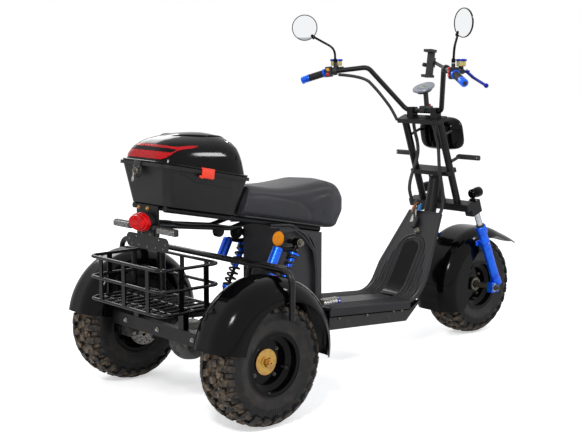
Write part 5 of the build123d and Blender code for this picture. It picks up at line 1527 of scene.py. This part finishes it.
# %% Front indicators
winkers, winker_glass, winker_screws = Form(), Form(), Form()
for side in (1, -1):
    root = on_steering(212, side * 100)
    bar_z = root.z + 23
    winkers.join(tube([root + Vector((3, side * 14, 3)), root + Vector((22, side * 20, 12)),
                       root + Vector((38, side * 28, 22))], 7, 16),
                 block((16, 122, 22), placed((root.x + 40, side * 181, bar_z)), 5, 3),
                 block((18, 30, 15), placed((root.x + 38, side * 132, root.z + 22)), 3))
    winker_glass.join(block((3, 104, 15), placed((root.x + 48, side * 184, bar_z)), 1.2))
    for y in (136, 232):
        winker_screws.join(turned([(0, 3.4), (1.2, 3), (1.2, 0.01)],
                                  (root.x + 31.4, side * y, bar_z), backward, 16))
piece("front_indicator_bars", winkers, matt_nylon, "fork", ["front_indicators"])
piece("front_indicator_glass", winker_glass, smoked_lens, "fork")
piece("front_indicator_screws", winker_screws, bright_zinc, "fork")

# %% [markdown]
# ## Plugs, key switch and horn
# The plugs hang over the top of the leg shield on short wires. Each keeps its own colour, as they
# are the only bright spots there.


# %% Places on the leg shield
shield_slope = math.atan2(shield_top.z - corner_z, shield_top.x - corner_x)


def on_shield(down, y, out=0.0):
    """A matrix with X up the leg shield and Z out of it, to the rider."""
    x = shield_top.x - down * math.cos(shield_slope) - out * math.sin(shield_slope)
    z = shield_top.z - down * math.sin(shield_slope) + out * math.cos(shield_slope)
    return Matrix.Translation((x, y, z)) @ Matrix.Rotation(-shield_slope, 4, "Y")


def plug(place, length, width, tall, coat, name, ways, stands_for=()):
    """A wiring plug: a body, a latch, ribs along it and a boot at one end."""
    form = block((length, width, tall), placed((0, 0, tall / 2)), 2)
    form.join(block((length * 0.5, width * 0.4, 3), placed((2, 0, tall)), 1, 1))
    for k in range(ways):
        along = -length / 2 + (k + 0.6) * length / ways
        form.join(block((3, width + 2.4, tall + 1.6), placed((along, 0, tall / 2)), 1, 1))
    form.join(turned([(0, 5), (10, 4)], (length / 2, 0, tall / 2), (1, 0, 0), 14, caps=True))
    piece(name, form.moved(place), coat, "chassis", stands_for)


plug(on_shield(-30, 62, 3), 24, 16, 12, matt_nylon, "plug_top", 2, ["small_electrics"])
plug(on_shield(2, 54, 3), 26, 22, 14, pale_plug, "plug_pale", 3)
plug(on_shield(42, 44, 3), 44, 14, 12, pale_plug, "plug_ribbed", 6)
plug(on_shield(66, 22, 3), 46, 20, 14, matt_nylon, "plug_black", 4)
plug(on_shield(-8, 32, 3), 26, 14, 12, blue_plug, "plug_blue", 2)
wires, leads = Form(), Form()
for start, end, bulge in (((-34, 60), (66, 22), 16), ((2, 54), (-8, 34), 12),
                          ((-30, 62), (42, 44), 10), ((2, 54), (66, 22), 9)):
    a, b = on_shield(*start, 10).translation, on_shield(*end, 10).translation
    c = (a + b) / 2 + on_shield(0, 0, bulge).translation - on_shield(0, 0).translation
    wires.join(tube(rounded([a, c, b], 60), 3.2, 10))
for k, y in enumerate((48, 52, 56)):
    a = on_shield(-34 + 4 * k, y, 14).translation
    b = on_shield(8 + 6 * k, y + 4, 16).translation
    leads.join(tube(rounded([a, (a + b) / 2 + Vector((-8, 4, 3)), b], 30), 1.8, 8))
piece("plug_wires", wires, loom_sleeve, "chassis")
piece("plug_leads", leads, orange_plug, "chassis")

# %% Key switch and horn
key_place = on_shield(96, 0)
key = turned([(-0.5, 15), (3, 15), (4, 14), (4, 13), (8, 12.6), (9, 11.6), (9, 8), (7.6, 7.6),
              (7.6, 0.01)], (0, 0, 0), (0, 0, 1), 36).moved(key_place)
key.join(block((11, 2, 2), key_place @ placed((0, 0, 8.4)), 0.4, 1))
piece("key_switch", key, dull_zinc, "chassis")
horn = turned([(-70, 0.01), (-70, 18), (-68.5, 20.6), (-66, 21), (-50, 21), (-48, 19.6), (-47, 16),
               (-46, 8), (-46, 0.01)], (95, 0, 632), (0, 1, 0), 36)
piece("horn", horn, polished_abs, "chassis")
print("lamps, plugs and horn made")

# %% [markdown]
# ## Handlebar fittings
# Everything on the bar is placed by the bar's own line: from the clamp out to a bend, then to the
# grip's bend, then back along the grip. One function gives a point beside the bar near each grip.


# %% Places on the bar
bar_clamp = Vector((1296, 100, 1040))
bar_bend = Vector((1166, 220, 1230))
grip_inner, grip_outer = Vector((1062, 362, 1209)), Vector((1002, 465, 1173))


def by_bar(inward, ahead=0, up=0):
    """Point near the left end of the bar, inward of the grip's bend, ahead of it and above it."""
    way = (bar_bend - grip_inner).normalized()
    front = Vector((way.y, -way.x, 0)).normalized()
    if front.x < 0:
        front = -front
    return grip_inner + way * inward + front * ahead + Vector((0, 0, up))


print("the bar's grip end is", round((grip_outer - grip_inner).length), "mm long")

# %% Grips
grip_way = (grip_outer - grip_inner).normalized()
start = grip_outer - grip_way * 110
profile = [(12, 13), (12, 15.4)]
for k in range(18):
    along = 13 + 3.6 * k
    profile += [(along, 14.4), (along + 0.8, 16), (along + 2.4, 16), (along + 3.2, 14.4)]
profile += [(78, 15.6), (80, 13)]
rubber = turned(profile, start, grip_way, 32)
rubber.join(turned([(116, 9.6), (118.4, 9), (118.6, 0.01)], start, grip_way, 24))
grip_collar = turned([(-1, 12), (-1, 18), (0.5, 19.4), (9, 19.4), (11, 18), (12, 14)], start,
                     grip_way, 36)
grip_end = turned([(78, 14), (78, 16), (80, 16.6), (84, 16.6), (85, 15.6), (86, 16.4),
                   (108, 16.4), (110, 15.6), (111, 16.4), (114, 16.2), (117, 14), (118, 10),
                   (118, 7)], start, grip_way, 36)
piece("grip_rubber", rubber.both(), grip_rubber, "fork", ["grips"])
piece("grip_collars", grip_collar.both(), blue_anodised, "fork")
piece("grip_ends", grip_end.both(), blue_anodised, "fork")

# %% [markdown]
# **Buttons** stand out of the housings towards the rider: an orange and a red one on the left,
# three red ones on the right, and one on the stem.


# %% Buttons and housings
def button(side, up, radius, length):
    """A domed push button on a housing."""
    profile = [(0, radius * 0.8), (length * 0.8, radius), (length * 0.95, radius),
               (length * 1.16, radius * 0.8), (length * 1.26, radius * 0.4),
               (length * 1.28, 0.01)]
    return turned(profile, on_side(by_bar(2, -16, up), side), (-1, 0, 0.7), 24)


red = button(1, -15, 6.5, 11)
for up in (14, 0, -15):
    red.join(button(-1, up, 5.4, 10))
red.join(turned([(0, 6.4), (6, 6.4), (8, 5), (8.4, 0.01)], bar_clamp + Vector((36, -100, 22)),
                (0, 0, 1), 24))
piece("red_buttons", red, red_button, "fork", ["bar_buttons"])
piece("orange_button", button(1, 6, 7, 10), orange_button, "fork")
housing_way, seams = (grip_inner - bar_bend).normalized(), Form()
for reach in (-8.6, 8.6):
    seams.join(turned([(reach - 1, 21), (reach - 0.6, 22.4), (reach + 0.6, 22.4),
                       (reach + 1, 21)], by_bar(2), housing_way, 8))
piece("switch_seams", seams.both(), matt_nylon, "fork")

# %% [markdown]
# **Brake cylinders.** The reservoirs are cream plastic with a blue cap and two screws, and the
# mirrors stand beside them on bent stems.

# %% Reservoirs
perch = by_bar(29, 36, 6)
turn = Matrix.Rotation(math.atan2(housing_way.y, housing_way.x), 4, "Z")
tank_place = Matrix.Translation(perch) @ turn


def tank_form(*sizes):
    """Rings of half length, half width and height, one over the other."""
    return skin([oval_ring(half_x, half_y, 3.4, 40, z) for half_x, half_y, z in sizes])


tank = tank_form((23, 15, 17.6), (25, 17, 19), (25, 17, 38), (24, 16, 40))
tank_cap = tank_form((26, 18, 38.6), (28, 20, 39.6), (28, 20, 45), (27, 19, 47), (20, 12, 47.4),
                     (19, 11, 46.4))
tank_screws = Form()
for x in (-16, 16):
    tank_screws.join(turned([(0, 4), (1.8, 3.4), (1.8, 0.01)], (x, 0, 46.4), (0, 0, 1), 16))
piece("fluid_tanks", tank.moved(tank_place).both(), cream_plastic, "fork", ["reservoirs"])
piece("tank_caps", tank_cap.moved(tank_place).both(), deep_blue, "fork")
piece("tank_screws", tank_screws.moved(tank_place).both(), bright_zinc, "fork")

# %% Levers
knuckle = perch + Vector((6, 26, -4))
lever_bend, lever_tip = Vector((1100, 430, 1192)), Vector((1062, 524, 1163))
line = rounded([knuckle, lever_bend, lever_tip], 60, 10)
rings = rings_along(line, lambda i: [(a * (1.1 - 0.2 * i / len(line)), b * 0.8)
                                     for a, b in circle(7.4, 16)])
lever = skin(rings)
tip_way = (lever_tip - lever_bend).normalized()
lever.join(turned([(-8, 6), (-4, 7), (0, 9), (5, 9.4), (9, 7.4), (11, 4), (11.6, 0.01)], lever_tip,
                  tip_way, 24),
           turned([(-5, 0.01), (-5, 10), (-4, 11.4), (5, 11.4), (6, 10), (6, 0.01)], knuckle,
                  (0, 0, 1), 24))
piece("levers", lever.both(), deep_blue, "fork", ["brake_levers"])
adjuster = turned([(-4, 5), (10, 5), (11, 4.4), (11, 0.01)], knuckle + Vector((-6, -14, 2)),
                  (-0.6, 0.8, 0), 16)
adjuster.join(bolt(knuckle + Vector((0, 0, 6)), (0, 0, 1), 9, 4, False))
piece("lever_screws", adjuster.both(), bright_zinc, "fork")


# %% Mirrors
shells, glasses, mirror_rims = Form(), Form(), Form()
for side, angle in ((1, math.radians(38)), (-1, math.radians(12))):
    back = Vector((math.cos(angle), side * math.sin(angle), 0))
    centre = Vector((1000, side * 455, 1405))
    shells.join(turned([(0.6, 57), (2, 58), (6, 57.6), (9, 52), (10.6, 42), (11, 24), (11, 0.01)],
                       centre, back, 64))
    mirror_rims.join(turned([(2.4, 55), (0.6, 57.4), (-0.4, 57.4), (-0.8, 56), (-0.2, 54.4),
                             (1.4, 54)], centre, back, 64))
    glasses.join(turned([(1.2, 54.6), (0.6, 40), (0.4, 20), (0.3, 0.01)], centre, back, 64))
    foot = on_side(by_bar(29, 4, 37.6), side)
    bend = foot + Vector((0, side * 3, 62))
    hold = Vector((0.35, -0.6 * side, -0.72))
    rim_way = (hold - back * hold.dot(back)).normalized()
    end = centre + back * 5.5 + rim_way * 54
    shells.join(tube(rounded([foot, bend, end], 60, 12), 5, 16),
                turned([(-12, 0.01), (-12, 7), (-10, 8.4), (6, 8.4), (10, 6)], end, -rim_way,
                       20, caps=True),
                turned([(0, 9), (6, 9.4), (14, 9.4), (18, 7), (18, 5)], foot, (0, 0, 1), 6))
piece("mirror_shells", shells, polished_abs, "fork", ["mirrors"])
piece("mirror_rims", mirror_rims, satin_enamel, "fork")
piece("mirror_glasses", glasses, mirror_glass, "fork")

# %% Display
pod_tilt = math.radians(-24)
pod_place = Matrix.Translation((1290, 0, 1147)) @ Matrix.Rotation(pod_tilt, 4, "Y")
pod = turned([(-26, 0.01), (-26, 26), (-24, 32), (-16, 40), (-10, 45), (-9, 48)], (0, 0, 0),
             (0, 0, 1), 56)
ring = turned([(-10, 44), (-10, 48.6), (-8, 50), (-3, 50), (-0.8, 48.4), (0, 45), (-0.6, 41),
               (-1.4, 40.4)], (0, 0, 0), (0, 0, 1), 64)
face = turned([(-1.2, 41), (-0.8, 38), (-0.7, 0.01)], (0, 0, 0), (0, 0, 1), 56)
lcd = block((38, 46, 1.2), placed((0, 0, -0.2)), 0.5, 1)
segments = Form()
for x, y, long, wide in ((6, -12, 12, 1.8), (0, -6, 1.8, 12), (6, 0, 12, 1.8), (0, 6, 1.8, 12),
                         (-6, -12, 12, 1.8), (-13, 14, 1.6, 10), (13, 10, 2, 14)):
    segments.join(block((long, wide, 0.3), placed((x, y, 0.5)), 0))
stem = rod((1316, 0, 1050), (1304, 0, 1132), 11)
stem.join(block((59, 32, 28), placed((1310.5, 0, 1048)), 3))
piece("display_pod", pod.moved(pod_place).join(stem), matt_nylon, "fork", ["display"])
piece("display_ring", ring.moved(pod_place), display_grey, "fork")
piece("display_face", face.moved(pod_place), display_grey, "fork")
piece("display_lcd", lcd.moved(pod_place), lcd_glass, "fork")
piece("display_segments", segments.moved(pod_place), matt_nylon, "fork")
knob = turned([(0, 8), (3, 9), (14, 9), (16, 7), (16, 0.01)], (1182, -108, 1240), (0, 1, 0.2), 10)
knob.join(rod((1182, -118, 1238), (1182, -108, 1240), 5))
piece("holder_knob", knob, matt_nylon, "fork")

# %% [markdown]
# ## Cords
# Each loom follows one spline whose control points are those of the CAD route, so the cord bends as
# a real one does and stays where the drawing has it. Three looms are split tubing with ribs. The
# one under the left bar is a braided sleeve. The two looms between the fork and the frame ride on
# no body.


# %% Looms
def route(points):
    """Points in metres along the spline of a cord's control points in drawing millimetres."""
    curve = bpy.data.curves.new("route", "CURVE")
    curve.dimensions = "3D"
    spline = curve.splines.new("NURBS")
    spline.points.add(len(points) - 1)
    for place, point in zip(spline.points, points):
        place.co = (*(to_metres @ Vector(point)), 1)
    spline.order_u, spline.use_endpoint_u, spline.resolution_u = 3, True, 24
    thing = bpy.data.objects.new("route", curve)
    mesh = bpy.data.meshes.new_from_object(thing)
    path = [v.co.copy() for v in mesh.vertices]
    bpy.data.objects.remove(thing)
    bpy.data.meshes.remove(mesh)
    return path


def spaced(path, step):
    """The same path with its points a fixed distance apart, in metres."""
    out, left = [path[0]], step
    for a, b in zip(path, path[1:]):
        length = (b - a).length
        walked = 0.0
        while length - walked >= left:
            walked += left
            out.append(a + (b - a) * (walked / length))
            left = step
        left -= length - walked
    if (out[-1] - path[-1]).length > step * 0.2:
        out.append(path[-1])
    return out


def braid(radius, row):
    """Points of one round of a braid, whose strands stand out by turns."""
    sizes = [(radius - 0.7 * ((row + k) % 2), 2 * math.pi * k / 20) for k in range(20)]
    return [(r * math.cos(a), r * math.sin(a)) for r, a in sizes]


def loom(name, path, radius, body, ribbed):
    """A ribbed or braided cord along a path."""
    step = 1.6 if ribbed else 3.0
    local = [to_drawing @ p for p in spaced(path, step / 1000)]
    if ribbed:
        form = tube(local, [radius - (0 if i % 3 else 1.3) for i in range(len(local))], 16)
    else:
        form = skin(rings_along(local, lambda i: braid(radius, i)))
    return piece(name, form, loom_sleeve, body, sharp=80)


loom_lengths = {}
for name, node, radius, body, ribbed, points in (
        ("loom_bar", "bar_loom", 7, "fork", False, [
            by_bar(46, -6, -17.6), (1148, 226, 1190), (1182, 184, 1136), (1212, 156, 1086),
            (1236, 132, 1040), (1247, 113, 996)]),
        ("loom_left_front", "left_front_loom", 8, None, True, [
            (1296, 62, 995.7), (1308, 62, 945), (1328, 62, 898), (1333, 62, 850), (1318, 62, 804),
            (1292, 61, 758), (1276, 60, 716), (1276, 60, 676), (1294, 60, 640)]),
        ("loom_middle_front", "middle_front_loom", 8, None, True, [
            (1288, -60, 991.4), (1296, -68, 950), (1310, -72, 906), (1314, -74, 860),
            (1318, -74, 804), (1330, -74, 748), (1346, -74, 690), (1354, -72, 634),
            (1342, -68, 586), (1314, -64, 552)]),
        ("loom_rack", "rack_loom", 4, "chassis", True, [
            (-174.7, -56, 697), (-140, -60, 695), (-90, -73, 681), (-40, -76.5, 673),
            (20, -76.5, 668), (80, -76.5, 659), (130, -76.5, 648), (186, -76.5, 643),
            (250, -76.5, 651.2), (280, -76.5, 650), (306, -76.5, 656.4)])):
    path = route(points)
    length = sum((b - a).length for a, b in zip(path, path[1:]))
    made = loom(name, path, radius, body or "fork", ribbed)
    if body is None:
        world = made.matrix_world.copy()
        made.parent = None
        made.matrix_world = world
        del made["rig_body"]
        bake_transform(made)
    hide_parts(node)
    loom_lengths[name] = round(length * 1000)
print("loom lengths in mm", loom_lengths)

# %% Sizes and the end
print("pieces made", len(faces_made), "faces", sum(faces_made.values()))
